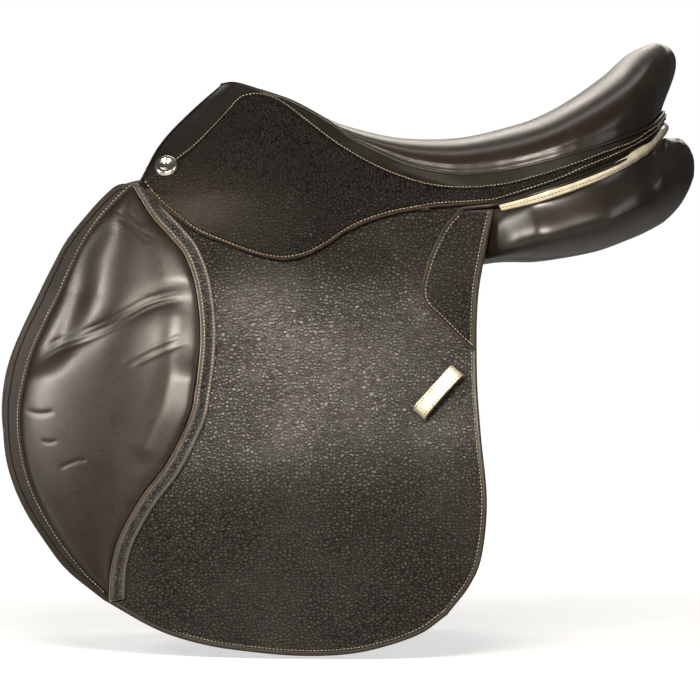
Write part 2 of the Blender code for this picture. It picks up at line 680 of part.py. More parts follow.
def girth_web(name, x_middle, depth, canvas, parts):
    """A web that crosses the tree on top of the seat webs and hangs behind a girth strap on each side."""
    foam = foam_base(GIRTH_WEB_DEPTH)
    rows = []
    for x in np.linspace(x_middle - GIRTH_WEB_HALF, x_middle + GIRTH_WEB_HALF, 7):
        across = []
        for line in foam.transpose(1, 0, 2):
            line = line[1:-5]
            place = [np.interp(x, line[:, 0], line[:, k]) for k in range(3)]
            across.append((x, place[1], place[2]))
        for z in hinge_z(x) - STRAP_TOP_DROP - GIRTH_WEB_STEPS:
            across.append((x, flap_face(x, z) - depth, z))
        rows.append(across)
    right = np.array(rows)
    run = np.gradient(right[:, :, 1:], axis=1)
    inwards = np.stack([np.zeros(run.shape[:2]), run[..., 1], -run[..., 0]], axis=-1)
    inwards /= np.linalg.norm(inwards, axis=-1, keepdims=True)
    under = right + inwards * GIRTH_WEB_CANVAS
    right[:, 0, 1] = under[:, 0, 1] = 0.0
    solid_between(f"girth_web_{name}", both_halves(right), both_halves(under), canvas, parts)


# The seat

def build_seat(smooth, foam, parts):
    cover = sheet("seat_cover", both_halves(seat_surface()), SEAT_LEATHER, smooth, parts, (0, 0, 1))
    cover.modifiers["thickness"].use_even_offset = False
    upper = both_halves(seat_surface(SEAT_LEATHER + COVER_TO_FOAM))
    solid_between("seat_foam", upper, both_halves(foam_base()), foam, parts)


def upper_skirt_rails(count):
    """The four lines that carry the skirt's fixed part, from the seat's edge down to the hinge line."""
    seat_line = SEAT_EDGE + plan_normals(SEAT_EDGE) * (SKIRT_LEATHER + SEAT_LINE_ROOM)
    seat_line[0] = SEAT_LINE_FRONT
    seat_line[-1, 1] = SEAT_LINE_REAR_Y
    hinge_x = SKIRT_HINGE_X
    hinge = np.stack([hinge_x, hinge_y(hinge_x) + SKIRT_LEATHER / 2, hinge_z(hinge_x) + FOLD_SPACE], axis=1)
    lower = np.concatenate([hinge, CANTLE_STRIP_EDGE])
    rear = len(SKIRT_HINGE_X)
    upper_band = np.concatenate([SKIRT_UPPER_BAND, (2 * seat_line[rear:] + lower[rear:]) / 3])
    lower_band = np.concatenate([SKIRT_LOWER_BAND, (seat_line[rear:] + 2 * lower[rear:]) / 3])
    return [rail(line, count) for line in (seat_line, upper_band, lower_band, lower)]


def upper_skirt_grid(count, rows):
    """The skirt's fixed part on the right, as a grid [row, station]."""
    rails = np.stack(upper_skirt_rails(count))
    return np.stack([rail(rails[:, k], rows) for k in range(count)], axis=1)


def lower_skirt_grid(columns, rows):
    """The skirt's free part on the right: it hangs from the hinge line over the flap."""
    x = np.linspace(SKIRT_EDGE[0, 0], SKIRT_EDGE[-1, 0], columns)
    curve = rail(SKIRT_EDGE, 200)
    edge = np.interp(x, curve[:, 0], curve[:, 1])
    top = hinge_z(x) - mm(0.4)
    share = np.linspace(0, 1, rows)[:, None]
    z = (1 - share) * top + share * np.minimum(edge, top - mm(1.2))
    x = np.repeat(x[None], rows, axis=0)
    return np.stack([x, flap_face(x, z) + HINGE_TO_FLAP + SKIRT_LEATHER / 2, z], axis=-1)


def build_sides(materials, parts, cutters):
    """Everything that hangs on one side, made twice."""
    for side, sign in (("left", -1), ("right", 1)):
        mirror = np.array((1, sign, 1))
        outwards = (0, sign, 0)
        grained, smooth, trim = materials["grained"], materials["smooth"], materials["trim"]
        skirt_top = sheet(f"skirt_top_{side}", upper_skirt_grid(21, 6) * mirror, SKIRT_LEATHER,
                          smooth, parts, outwards)
        skirt = sheet(f"skirt_{side}", lower_skirt_grid(20, 5) * mirror, SKIRT_LEATHER,
                      grained, parts, outwards)
        low = np.array((NOTCH_X[0], sign * mm(60), NOTCH_BOTTOM))
        high = np.array((NOTCH_X[1], sign * mm(160), mm(420)))
        notch = cutter_box(f"bar_notch_{side}", np.minimum(low, high), np.maximum(low, high), cutters)
        flap = sheet(f"flap_{side}", on_flap(flap_outline_grid(11, 11), FLAP_DEPTH) * mirror, FLAP_LEATHER,
                     smooth, parts, outwards)
        facing = sheet(f"flap_facing_{side}", on_flap(facing_grid(9, 11)) * mirror, FACING_LEATHER,
                       grained, parts, outwards)
        for leather in (flap, facing):
            boolean(leather, notch, "DIFFERENCE")
        pad = knee_pad(f"knee_pad_{side}", mirror, smooth, parts)
        patch_grid = on_flap(between(PATCH_EDGE, PATCH_REAR, 4, 8), -PATCH_LEATHER - GAP)
        patch = sheet(f"corner_patch_{side}", patch_grid * mirror, PATCH_LEATHER, grained, parts, outwards)
        sheet(f"sweat_flap_{side}", on_flap(sweat_grid(10, 10), SWEAT_DEPTH) * mirror, SWEAT_LEATHER,
              materials["sweat"], parts, outwards)
        knee_block(f"knee_block_{side}", mirror, materials["sweat"], parts)
        keeper = leather_keeper(f"leather_keeper_{side}", sign, trim, parts)
        hang_on_hinge(side, mirror, [flap, facing, pad, patch, keeper], skirt, parts)
        panel(f"panel_{side}", mirror, smooth, parts)
        stud(f"skirt_stud_{side}", sign, skirt_top, materials["nickel"], parts, cutters)
        stirrup_bar(side, sign, materials["steel"], parts, cutters)
        for name, x, depth in GIRTH_STRAPS:
            girth_strap(f"girth_strap_{name}_{side}", sign, x, depth, materials["strap"], parts)


def hang_on_hinge(side, mirror, flap_pieces, skirt, parts):
    """Two empties on the hinge line: the flap's pieces turn with one, the skirt with the other on it."""
    flap_hinge = bpy.data.objects.new(f"flap_hinge_{side}", None)
    skirt_hinge = bpy.data.objects.new(f"skirt_hinge_{side}", None)
    run = Vector((HINGE_REAR - HINGE_FRONT) * mirror)
    place = frame_matrix(HINGE_FRONT * mirror, run, (0, 0, 1))
    flap_hinge.matrix_world = place
    skirt_hinge.parent = flap_hinge
    for hinge, pieces in ((flap_hinge, flap_pieces), (skirt_hinge, [skirt])):
        parts.objects.link(hinge)
        hinge.empty_display_size = 0.05
        for piece in pieces:
            piece.parent = hinge
            piece.matrix_parent_inverse = place.inverted()


def flap_outline_grid(columns, rows):
    return coons_patch(FLAP_TOP, FLAP_BOTTOM, FLAP_FRONT, FLAP_REAR, columns, rows)


def facing_grid(columns, rows):
    top = np.array([FACING_EDGE[0], mm((-60, 388)), FLAP_REAR[0] - mm((0.5, 0.5))])
    rear = FLAP_REAR - mm((0.5, 0))
    rear[0], rear[-1] = top[-1], FACING_BOTTOM[-1]
    return coons_patch(top, FACING_BOTTOM, FACING_EDGE, rear, columns, rows)


def sweat_grid(columns, rows):
    return coons_patch(SWEAT_TOP, SWEAT_BOTTOM, SWEAT_FRONT, SWEAT_REAR, columns, rows)


def cushion_rise(rows, columns, height):
    """A pad's rise over its base: nothing at the rim, full over the middle."""
    u = np.linspace(0, math.pi, columns)[None]
    v = np.linspace(0, math.pi, rows)[:, None]
    return height * (np.sin(u) ** 0.7) * np.clip(np.sin(v), 0, 1) ** 0.5


def knee_pad(name, mirror, material, parts):
    rows, columns = 11, 7
    spread = between(KNEE_PAD_FRONT, KNEE_PAD_REAR, columns, rows)
    base = on_flap(spread, FLAP_DEPTH - mm(1.0))
    upper = base.copy()
    upper[..., 1] += mm(1.5) + cushion_rise(rows, columns, KNEE_PAD_HEIGHT)
    return solid_between(name, upper * mirror, base * mirror, material, parts)


def knee_block(name, mirror, material, parts):
    rows, columns = 8, 5
    spread = between(KNEE_BLOCK_FRONT, KNEE_BLOCK_REAR, columns, rows)
    base = on_flap(spread, SWEAT_DEPTH - mm(1.0))
    upper = base.copy()
    upper[..., 1] += mm(4) + cushion_rise(rows, columns, SWEAT_DEPTH - KNEE_BLOCK_DEPTH - mm(4))
    solid_between(name, upper * mirror, base * mirror, material, parts)


def panel(name, mirror, material, parts):
    """One half of the panel: superelliptic sections, tilted to lie along the horse's back."""
    rings = []
    angles = np.linspace(0, 2 * math.pi, PANEL_RING, endpoint=False)
    for x, y, z, half_width, half_height, tilt in PANEL_SECTIONS:
        power = 2 / PANEL_SQUARENESS
        across = half_width * np.sign(np.cos(angles)) * np.abs(np.cos(angles)) ** power
        up = half_height * np.sign(np.sin(angles)) * np.abs(np.sin(angles)) ** power
        lean = math.radians(-tilt)
        ring_y = y + across * math.cos(lean) - up * math.sin(lean)
        ring_z = z + across * math.sin(lean) + up * math.cos(lean)
        rings.append(mm(np.stack([np.full(PANEL_RING, x), ring_y, ring_z], axis=1)) * mirror)
    loft(name, rings, material, parts)


def stud(name, sign, skirt, material, parts, cutters):
    """The nickel nail head that holds the skirt's front corner: a ring, a dished middle and a shank."""
    place, normal = skirt_point(STUD_PLACE[0], STUD_PLACE[1])
    mirror = np.array((1, sign, 1))
    place, normal = (place + normal * STUD_STAND) * mirror, normal * mirror
    turned(name, STUD_PROFILE, place, normal, 14, material, parts)
    bm = bmesh.new()
    bmesh.ops.create_cone(bm, cap_ends=True, segments=16, radius1=STUD_HOLE, radius2=STUD_HOLE, depth=mm(16))
    hole = bpy.data.objects.new(f"{name}_hole", finish_mesh(f"{name}_hole", bm))
    cutters.objects.link(hole)
    hole.hide_render = True
    hole.display_type = "WIRE"
    x_axis = Vector((0, 0, 1)).cross(Vector(normal))
    hole.matrix_world = frame_matrix(place, x_axis, Vector(normal).cross(x_axis))
    boolean(skirt, hole, "DIFFERENCE")


def skirt_point(x, z):
    """The point and outward normal of the skirt's fixed part at a place seen from the side."""
    grid = upper_skirt_grid(91, 25)
    seen = grid[..., [0, 2]] - np.array((x, z))
    row, column = np.unravel_index(np.argmin((seen**2).sum(axis=2)), grid.shape[:2])
    down = grid[row + 1, column] - grid[row - 1, column]
    along = grid[row, column + 1] - grid[row, column - 1]
    normal = np.cross(down, along)
    normal /= np.linalg.norm(normal)
    return grid[row, column], normal if normal[1] > 0 else -normal


def stirrup_bar(side, sign, material, parts, cutters):
    """A hook of flat steel on the tree, open to the rear, with a catch that turns up on a pin."""
    steel, slot = BAR_STEEL, BAR_SLOT
    front, rear = -BAR_LENGTH / 2, BAR_LENGTH / 2
    arm_end = rear - BAR_ARM_SHORTER
    bend = slot / 2 + steel
    outline = [(rear, 0), (rear, -steel)] + arc((front + bend, slot / 2), bend, 270, 90, 9)
    outline += [(arm_end, slot + steel), (arm_end, slot)]
    outline += arc((front + bend, slot / 2), slot / 2, 90, 270, 7)
    outline = [(x, y * sign) for x, y in outline]
    bar = flat_outline(f"stirrup_bar_{side}", [outline], BAR_HEIGHT, material, parts)
    bar = as_mesh(bar, material, parts)
    bar.matrix_world = bar_frame(sign)
    for end, x in zip(("front", "rear"), BAR_RIVETS):
        boolean(bar, rivet_hole(f"bar_hole_{end}_{side}", sign, x, cutters), "DIFFERENCE")
        head = bar_frame(sign) @ Vector((x, sign * mm(2.0), 0))
        outwards = bar_frame(sign).to_3x3() @ Vector((0, sign, 0))
        rivet(f"bar_rivet_{end}_{side}", head, outwards, material, parts)
    outline = rounded_bar_outline(CATCH_LENGTH, CATCH_HEIGHT, CATCH_HEIGHT / 2 - mm(0.2), 5)
    outline = [(x + CATCH_LENGTH / 2 - CATCH_EYE_FROM_END, y) for x, y in outline]
    catch = flat_outline(f"bar_catch_{side}", [outline, arc((0, 0), CATCH_EYE, 0, 324, 10)], CATCH_STEEL,
                         material, parts)
    hinge_x = arm_end - CATCH_EYE_FROM_END
    catch_y = sign * (slot - mm(0.5) - CATCH_STEEL / 2)
    catch.matrix_world = bar_frame(sign) @ frame_matrix((hinge_x, catch_y, 0), (1, 0, 0), (0, 0, 1))
    pin_length = CATCH_STEEL + mm(1.5)
    bm = bmesh.new()
    bmesh.ops.create_cone(bm, cap_ends=True, segments=12, radius1=CATCH_PIN, radius2=CATCH_PIN,
                          depth=pin_length)
    pin = add_object(f"catch_pin_{side}", finish_mesh(f"catch_pin_{side}", bm), material, parts)
    upright = frame_matrix((hinge_x, sign * (slot - GAP - pin_length / 2), 0), (1, 0, 0), (0, 0, 1))
    pin.matrix_world = bar_frame(sign) @ upright


def as_mesh(curve_object, material, parts):
    """A curve object's mesh, welded, in its place."""
    name = curve_object.name
    mesh = bpy.data.meshes.new_from_object(curve_object)
    bpy.data.objects.remove(curve_object)
    bm = bmesh.new()
    bm.from_mesh(mesh)
    bpy.data.meshes.remove(mesh)
    return add_object(name, finish_mesh(name, bm), material, parts)


def girth_strap(name, sign, x, depth, material, parts):
    """A strap with a rounded end and punched holes. Its origin is where it swings from the web."""
    half = STRAP_WIDTH / 2
    corner_x, corner_y = half - STRAP_CORNER, STRAP_HEAD - STRAP_CORNER
    taper, tip = -STRAP_LENGTH + STRAP_TAPER, -STRAP_LENGTH + STRAP_TIP
    outline = arc((corner_x, corner_y), STRAP_CORNER, 0, 90, 4)
    outline += arc((-corner_x, corner_y), STRAP_CORNER, 90, 180, 4)
    outline += [(-half, taper), (-half * STRAP_TIP_SHARE, tip), (0, -STRAP_LENGTH)]
    outline += [(half * STRAP_TIP_SHARE, tip), (half, taper)]
    holes = []
    for k in range(STRAP_HOLES):
        hole_z = -STRAP_LENGTH + STRAP_FIRST_HOLE + k * STRAP_HOLE_PITCH
        holes.append(arc((0, hole_z), STRAP_HOLE_RADIUS, 0, 315, 8))
    strap = flat_outline(name, [outline] + holes, STRAP_LEATHER, material, parts)
    strap.matrix_world = strap_matrix(sign, x, depth)


def strap_matrix(sign, x, depth):
    """A girth strap's place and lie: along the flap, and hanging straight down from under the hinge line."""
    top_z = hinge_z(x) - STRAP_TOP_DROP
    low_z = top_z - STRAP_LENGTH
    middle = depth + STRAP_LEATHER / 2
    top = np.array((x, sign * (flap_face(x, top_z) - middle), top_z))
    foot = np.array((x, sign * (flap_face(x, low_z) - middle), low_z))
    step, mid_z = mm(20), (top_z + low_z) / 2
    run = Vector((2 * step, sign * (flap_face(x + step, mid_z) - flap_face(x - step, mid_z)), 0))
    normal = run.cross(Vector(top - foot)).normalized()
    up = Vector((0, 0, 1)) - normal * normal.z
    return frame_matrix(top, up.cross(normal), up)


def leather_keeper(name, sign, material, parts):
    """The loop that takes the stirrup leather's end: a strip that rises, runs flat and comes down."""
    half, rise, strip = KEEPER_LENGTH / 2, KEEPER_RISE, KEEPER_LEATHER
    bend, inner_bend = KEEPER_BEND, KEEPER_INNER_BEND
    outer = [(-half, 0)] + arc((-half + bend, rise - bend), bend, 180, 90, 4)
    outline = outer + [(-x, y) for x, y in outer[::-1]]
    inner_half, inner_top = half - strip, rise - strip
    inner = [(inner_half, 0), (inner_half, inner_top - inner_bend), (inner_half - inner_bend, inner_top)]
    outline += inner + [(-x, y) for x, y in inner[::-1]]
    keeper = flat_outline(name, [outline], KEEPER_WIDTH, material, parts)
    x, z = KEEPER_CENTRE
    step = mm(5)
    run = Vector((math.cos(KEEPER_SLANT), 0, math.sin(KEEPER_SLANT)))
    ends = []
    for distance in (-step, step):
        px, pz = x + run.x * distance, z + run.z * distance
        ends.append(Vector((px, sign * flap_face(px, pz), pz)))
    along = (ends[1] - ends[0]).normalized()
    slope_x = (flap_face(x + step, z) - flap_face(x - step, z)) / (2 * step)
    slope_z = (flap_face(x, z + step) - flap_face(x, z - step)) / (2 * step)
    normal = Vector((-slope_x, sign * 1.0, -slope_z)).normalized()
    place = Vector((x, sign * flap_face(x, z), z)) + normal * KEEPER_STAND
    keeper.matrix_world = frame_matrix(place, along, normal)
    return keeper


def build_cantle_trim(material, parts):
    """The pale strip under the seat's rear edge, in one piece round the cantle."""
    count = 16
    rails = np.stack([rail(TRIM_TOP, count), rail(TRIM_BOTTOM, count)])
    outwards = plan_normals(rails[0]) * mm(1.0)
    half = np.stack([rails[0] + outwards, rails.mean(axis=0) + 2 * outwards, rails[1] + outwards], axis=1)
    half[-1, :, 1] = 0.0
    other = half[-2::-1] * np.array((1, -1, 1))
    sheet("cantle_trim", np.concatenate([half, other]), TRIM_LEATHER, material, parts, (1, 0, 0))


def main():
    remove_everything()
    parts = new_collection("jumping_saddle")
    cutters = new_collection("cutters")
    materials = {
        "smooth": new_material("smooth_leather", (0.035, 0.030, 0.027), 0.38),
        "grained": new_material("grained_leather", (0.030, 0.027, 0.023), 0.45),
        "sweat": new_material("sweat_leather", (0.050, 0.042, 0.036), 0.6),
        "strap": new_material("strap_leather", (0.040, 0.034, 0.030), 0.5),
        "trim": new_material("pale_trim", (0.72, 0.66, 0.50), 0.3),
        "nickel": new_material("nickel", (0.75, 0.72, 0.66), 0.2, 1.0),
        "steel": new_material("bar_steel", (0.55, 0.55, 0.56), 0.3, 1.0),
        "wood": new_material("laminated_beech", (0.52, 0.38, 0.22), 0.6),
        "canvas": new_material("canvas_web", (0.62, 0.56, 0.44), 0.9),
        "foam": new_material("seat_foam", (0.70, 0.66, 0.52), 0.95),
    }
    build_tree(materials["steel"], materials["wood"], parts, cutters)
    build_webs_and_springs(materials["steel"], materials["canvas"], parts)
    build_seat(materials["smooth"], materials["foam"], parts)
    build_sides(materials, parts, cutters)
    build_cantle_trim(materials["trim"], parts)


if __name__ == "__main__":
    main()
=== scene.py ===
"""The looks of a close-contact jumping saddle: leather, stitching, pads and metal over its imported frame.

Run it as a script. The right side is worked out first in every function, and the left is its mirror
in the plane y = 0. Sizes are written in millimetres and turned to metres by mm().
"""
import math

import bmesh
import bpy
import numpy as np
from bpy.props import FloatProperty, FloatVectorProperty, PointerProperty
from mathutils import Matrix, Vector
from mathutils.bvhtree import BVHTree


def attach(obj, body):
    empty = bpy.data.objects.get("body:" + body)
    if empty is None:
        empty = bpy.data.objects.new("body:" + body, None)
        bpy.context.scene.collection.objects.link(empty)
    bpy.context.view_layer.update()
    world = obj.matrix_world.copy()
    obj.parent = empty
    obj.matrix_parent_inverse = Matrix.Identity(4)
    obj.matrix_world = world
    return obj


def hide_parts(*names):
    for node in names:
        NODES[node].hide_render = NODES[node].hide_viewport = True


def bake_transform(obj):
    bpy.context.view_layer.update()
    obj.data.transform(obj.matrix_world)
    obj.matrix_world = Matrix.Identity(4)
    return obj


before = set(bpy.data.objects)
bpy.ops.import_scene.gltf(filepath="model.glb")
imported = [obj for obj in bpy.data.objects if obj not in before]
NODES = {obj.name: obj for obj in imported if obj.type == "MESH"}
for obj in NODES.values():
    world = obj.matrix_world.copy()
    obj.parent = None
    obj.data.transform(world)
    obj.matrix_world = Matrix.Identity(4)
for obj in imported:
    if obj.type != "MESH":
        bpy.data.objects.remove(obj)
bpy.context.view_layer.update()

bl_info = {
    "name": "Close-contact jumping saddle",
    "version": (1, 0, 0),
    "blender": (4, 5, 0),
    "location": "View3D > Sidebar > Saddle",
    "description": "Builds the leather, stitching, pads and metal of a jumping saddle on its frame",
    "category": "Add Mesh",
}

SIDES = (("left", -1), ("right", 1))


def mm(value):
    """Millimetres as metres, for one number or a whole list of points."""
    return np.array(value, float) / 1000.0


# Shapes shared with the part's source: the hinge line, the layers on each side and the seat

HINGE_FRONT = mm((-179.6, 88.5, 401.9))
HINGE_REAR = mm((124.2, 133.5, 380.7))
HINGE_RUN = HINGE_REAR - HINGE_FRONT
HINGE_DOWN = np.array((HINGE_RUN[2], 0, -HINGE_RUN[0])) / math.hypot(HINGE_RUN[0], HINGE_RUN[2])
SKIRT_MIDDLE = 0.0014
FLAP_DEPTH = 0.0023
SWEAT_DEPTH = 0.025

SEAT_EDGE = mm([
    (-110, 0, 487.0), (-98, 16, 486.8), (-75, 32, 479.0), (-48, 45, 469.0),
    (-17, 60, 451.0), (0, 72, 438.0), (29, 88, 422.5), (56, 104, 411.0),
    (93, 122, 404.0), (130, 134, 406.5), (165, 139, 414.0), (200, 135, 424.0),
    (232, 118, 435.5), (255, 85, 446.0), (268, 40, 458.0), (272, 0, 463.0),
])
SEAT_CREST = mm([
    (-98, 0, 488.4), (-98, 0, 488.4), (-75, 0, 483.5), (-50, 0, 472.5),
    (-18, 0, 456.4), (0, 0, 450.1), (29, 0, 443.3), (56, 0, 439.8),
    (93, 0, 440.7), (128, 0, 447.5), (160, 0, 458.0), (192, 0, 475.0),
    (220, 0, 495.0), (242, 0, 514.0), (263, 0, 524.0), (263, 0, 524.0),
])
SKIRT_UPPER_BAND = mm([
    (-140, 38, 461), (-124, 44, 460), (-98, 52, 457), (-66, 60, 449), (-33, 71, 437),
    (-10, 81, 427), (18, 93, 415.5), (47, 106.5, 406), (86, 123.5, 398.5),
])
SKIRT_LOWER_BAND = mm([
    (-163, 66, 434), (-146, 71, 432), (-118, 75, 430), (-85, 79, 427), (-50, 85, 421),
    (-22, 91, 414), (5, 98, 407), (36, 108, 401), (78, 122, 394),
])
SKIRT_HINGE_X = mm([-179.6, -160, -135, -105, -70, -40, -10, 25, 70])
CANTLE_STRIP_EDGE = mm([
    (122, 135.0, 380.3), (159, 144.9, 389.9), (196, 143.2, 402.8), (230, 128, 416.8),
    (254.5, 93, 431.8), (268.5, 44, 447.5), (274.5, 0.8, 453),
])
SKIRT_EDGE = mm([
    (-179.4, 401.2), (-176.1, 396.5), (-162.2, 380.8), (-144.9, 367), (-127.7, 355.4),
    (-104.5, 346.3), (-81.5, 337.7), (-64.4, 333.3), (-53.4, 332.9), (-36, 336.8),
    (-16.9, 347), (-3.8, 356.5), (17.8, 366.3), (39.4, 372.7), (61, 376.4),
    (82.6, 378), (104, 379.6), (121.5, 380.6),
])
ARCH_PATH = mm([
    (-86, 0, 448), (-90, 20, 445), (-101, 37, 435), (-117, 52, 418), (-134, 64, 394), (-143.5, 73, 366),
    (-147, 79, 343),
])
SKIRT_SEAM = mm([
    (-148.5, 78, 418.4), (-133, 72, 431), (-117.4, 60, 447.7), (-103.9, 46, 463.5),
    (-94.9, 36, 473.9), (-85.7, 34, 477.1), (-73.9, 40, 476.6), (-59.9, 48, 470.3),
    (-36.6, 62, 452.2), (-17.2, 74, 436.7), (-3.9, 82, 427.4), (17.9, 94, 414.4),
    (39.5, 106, 404.6), (61.1, 116, 397.1), (82.6, 124, 393.3), (103.9, 130, 392.9),
    (125.3, 136, 394.7), (144.9, 140, 398.4), (180.2, 142, 408.9), (216, 134, 422.4),
    (240.9, 115, 432.6), (254.4, 92, 442.3), (268, 45, 452.5),
])
FLAP_TOP = mm([(-194, 399), (-150, 395), (-20, 386), (122.5, 376.6)])
FLAP_FRONT = mm([
    (-194, 399), (-201, 397), (-210.5, 388.8), (-222.4, 376), (-242.9, 350.3), (-256.4, 324.6),
    (-268.2, 298.9), (-280.7, 273.3), (-289.8, 247.7), (-294.5, 222.2), (-295.9, 205.2),
    (-293.5, 171.4), (-287, 146.1), (-275.4, 121.1), (-258.7, 96.1), (-238.6, 71.3), (-206.9, 46.8),
])
FLAP_BOTTOM = mm([
    (-206.9, 46.8), (-161, 22.6), (-120.7, 10.7), (-80, 5.2), (-41.4, 2.6), (-5, 4),
    (24.8, 9.7), (57.9, 21.3), (80.3, 37),
])
FLAP_REAR = mm([
    (122.5, 376.6), (115.5, 344.7), (107.6, 298.3), (106.4, 235.3), (109.3, 185.3),
    (113.9, 131.5), (109.5, 86.2), (99.4, 61.6), (80.3, 37),
])
FACING_FRONT = mm([
    (-184.8, 396.5), (-168.1, 370.2), (-151.6, 352), (-139.8, 337.3), (-131.6, 316),
    (-127.1, 291.5), (-125.6, 267.2), (-126.6, 247.8), (-129.7, 222.5), (-133.3, 202.3),
    (-143.1, 179.6), (-155.6, 157), (-173.2, 134.3), (-188.1, 109.2), (-195.6, 91.7),
    (-200, 71.7), (-201, 50.2),
])
PAD_FRONT = mm([
    (-187.3, 394.8), (-198.4, 384.5), (-213.7, 367.3), (-226.4, 348.5), (-237.4, 326.2),
    (-247.5, 303.1), (-260, 277.5), (-270.8, 251.9), (-277.3, 226.4), (-280.3, 205.2),
    (-279, 179.9), (-273.4, 154.6), (-265.3, 133.7), (-252.9, 111.2), (-238.9, 91.3),
    (-222.5, 71.5), (-205.3, 55.5),
])
PATCH_FRONT = mm([
    (93, 376), (80.3, 361.8), (69.2, 340.6), (63.3, 323.7), (59.8, 306.8), (63.1, 294.1),
    (75.7, 281.4), (92.3, 264.6), (102.6, 255.6),
])
SWEAT_TOP = mm([(-178, 404), (-172, 366), (-160, 331), (-100, 323), (-30, 320), (40, 319), (96, 318)])
SWEAT_FRONT = mm([
    (-178, 404), (-200, 397), (-221, 377), (-244.5, 350), (-271, 299), (-293, 247),
    (-298.5, 205), (-292, 168), (-272, 130), (-238, 90), (-205, 67),
])
SWEAT_BOTTOM = mm([(-205, 67), (-150, 46), (-50, 34), (20, 40), (68, 63)])
SWEAT_REAR = mm([(96, 318), (92, 280), (88, 200), (84, 120), (68, 63)])
KNEE_BLOCK_FRONT = mm([(-218, 348), (-243, 310), (-263, 262), (-272, 210), (-268, 165), (-248, 125)])
KNEE_BLOCK_REAR = mm([(-204, 344), (-208, 310), (-219, 262), (-228, 210), (-232, 165), (-236, 125)])
PANEL_SECTIONS = [
    (-184, 43, 372, 24, 7, 68), (-170, 44, 367, 38, 11, 68), (-130, 48, 363, 43, 12, 62),
    (-70, 57, 360, 44, 13, 52), (0, 62, 359, 41, 15, 42), (55, 64, 355, 39, 18, 30),
    (90, 66, 357, 38, 20, 24), (120, 77, 361, 52, 23.5, 12), (145, 85, 363.5, 59, 28, 5),
    (170, 88, 367.5, 62, 32, 2), (215, 85, 377, 60, 34, 0), (242, 76, 388, 55, 36, 0),
    (260, 68, 396.5, 47, 36, 0), (272, 63, 403, 39, 35, 0), (284, 58, 409, 28, 28.5, 0),
    (292, 55, 412.5, 17, 18.5, 0), (296.5, 53, 413.5, 7, 8, 0),
]
TRIM_TOP = mm([
    (124.1, 133.5, 383), (156.6, 142.4, 392.5), (182, 142.7, 400.8), (218, 134.5, 414),
    (240, 117.5, 425.5), (256, 88, 436.5), (268, 42, 450.5), (273.5, 0, 455.5),
])
TRIM_BOTTOM = mm([
    (127.4, 134, 372.9), (156.6, 143, 379.4), (182.5, 143.5, 387.8), (216, 135, 401),
    (242, 115, 415), (259, 85, 427), (273, 42, 441.5), (279, 0, 448.7),
])
GIRTH_STRAPS = (("front", 0.006, 0.0135), ("rear", 0.070, 0.008))


def rail(points, places):
    """Points, or lines of points, on the smooth curve through the given ones; places count from the first."""
    points, places = np.asarray(points, float), np.asarray(places, float)
    first = np.clip(places.astype(int), 0, len(points) - 2)
    t = (places - first).reshape((-1,) + (1,) * (points.ndim - 1))
    tangents = np.gradient(points, axis=0)
    a, b = points[first], points[first + 1]
    ta, tb = tangents[first], tangents[first + 1]
    return (a * (2 * t**3 - 3 * t**2 + 1) + ta * (t**3 - 2 * t**2 + t)
            + b * (3 * t**2 - 2 * t**3) + tb * (t**3 - t**2))


def even_rail(points, shares):
    """Points at the given shares of the length of the smooth curve through the given ones."""
    fine = rail(points, np.linspace(0, len(points) - 1, 40 * len(points)))
    steps = np.linalg.norm(np.diff(fine, axis=0), axis=1)
    along = np.concatenate([[0], np.cumsum(steps)])
    wanted = np.asarray(shares) * along[-1]
    return np.stack([np.interp(wanted, along, fine[:, k]) for k in range(fine.shape[1])], axis=1)


def length_of(points):
    return float(np.linalg.norm(np.diff(points, axis=0), axis=1).sum())


def even_line(points, spacing):
    """Points about spacing apart on the smooth curve through the given ones."""
    count = max(3, int(length_of(np.asarray(points, float)) / spacing))
    return even_rail(points, np.linspace(0, 1, count))


def hinge_y(x, axis=1):
    """The hinge line's Y, or another of its coordinates, at a place along the saddle."""
    return HINGE_FRONT[axis] + (x - HINGE_FRONT[0]) * HINGE_RUN[axis] / HINGE_RUN[0]


def hinge_z(x):
    return hinge_y(x, 2)


def flap_face(x, z):
    """Distance from the middle plane to the flap's outer face, at a place seen from the side."""
    drop = hinge_z(x) - z
    wrap = 0.18 * (x + 0.03) ** 2 * np.clip(drop / 0.1, 0, 1)
    return hinge_y(x) - 0.0045 + 0.27 * drop - 0.08 * drop**2 - wrap


def on_flap(side_points, out=0.0):
    """3D points on the right side, at a height over the flap's outer face."""
    x, z = side_points[..., 0], side_points[..., 1]
    return np.stack([x, flap_face(x, z) + out, z], axis=-1)


def outward(heights):
    """Moves by the given heights along +Y, which points outwards on the right side."""
    return np.array((0, 1.0, 0)) * heights[..., None]


def unit(vectors, least=0.0):
    """Vectors brought to length 1, each divided by at least the given length."""
    return vectors / np.maximum(np.linalg.norm(vectors, axis=-1, keepdims=True), least)


def plan_normals(edge):
    """Unit vectors that point outwards, seen from above, along an edge from pommel to cantle."""
    run = np.gradient(edge[:, :2], axis=0)
    normal = np.stack([-run[:, 1], run[:, 0], np.zeros(len(edge))], axis=1)
    normal[0], normal[-1] = (-1, 0, 0), (1, 0, 0)
    return unit(normal)


def nearest(points, line):
    """Distance from each point to a line of points, and the number of the nearest one of those."""
    flat = points.reshape(-1, points.shape[-1])
    best = np.empty(len(flat))
    which = np.empty(len(flat), int)
    for start in range(0, len(flat), 4000):
        gap = np.linalg.norm(flat[start:start + 4000, None] - line[None], axis=2)
        which[start:start + 4000] = gap.argmin(axis=1)
        best[start:start + 4000] = gap.min(axis=1)
    return best.reshape(points.shape[:-1]), which.reshape(points.shape[:-1])


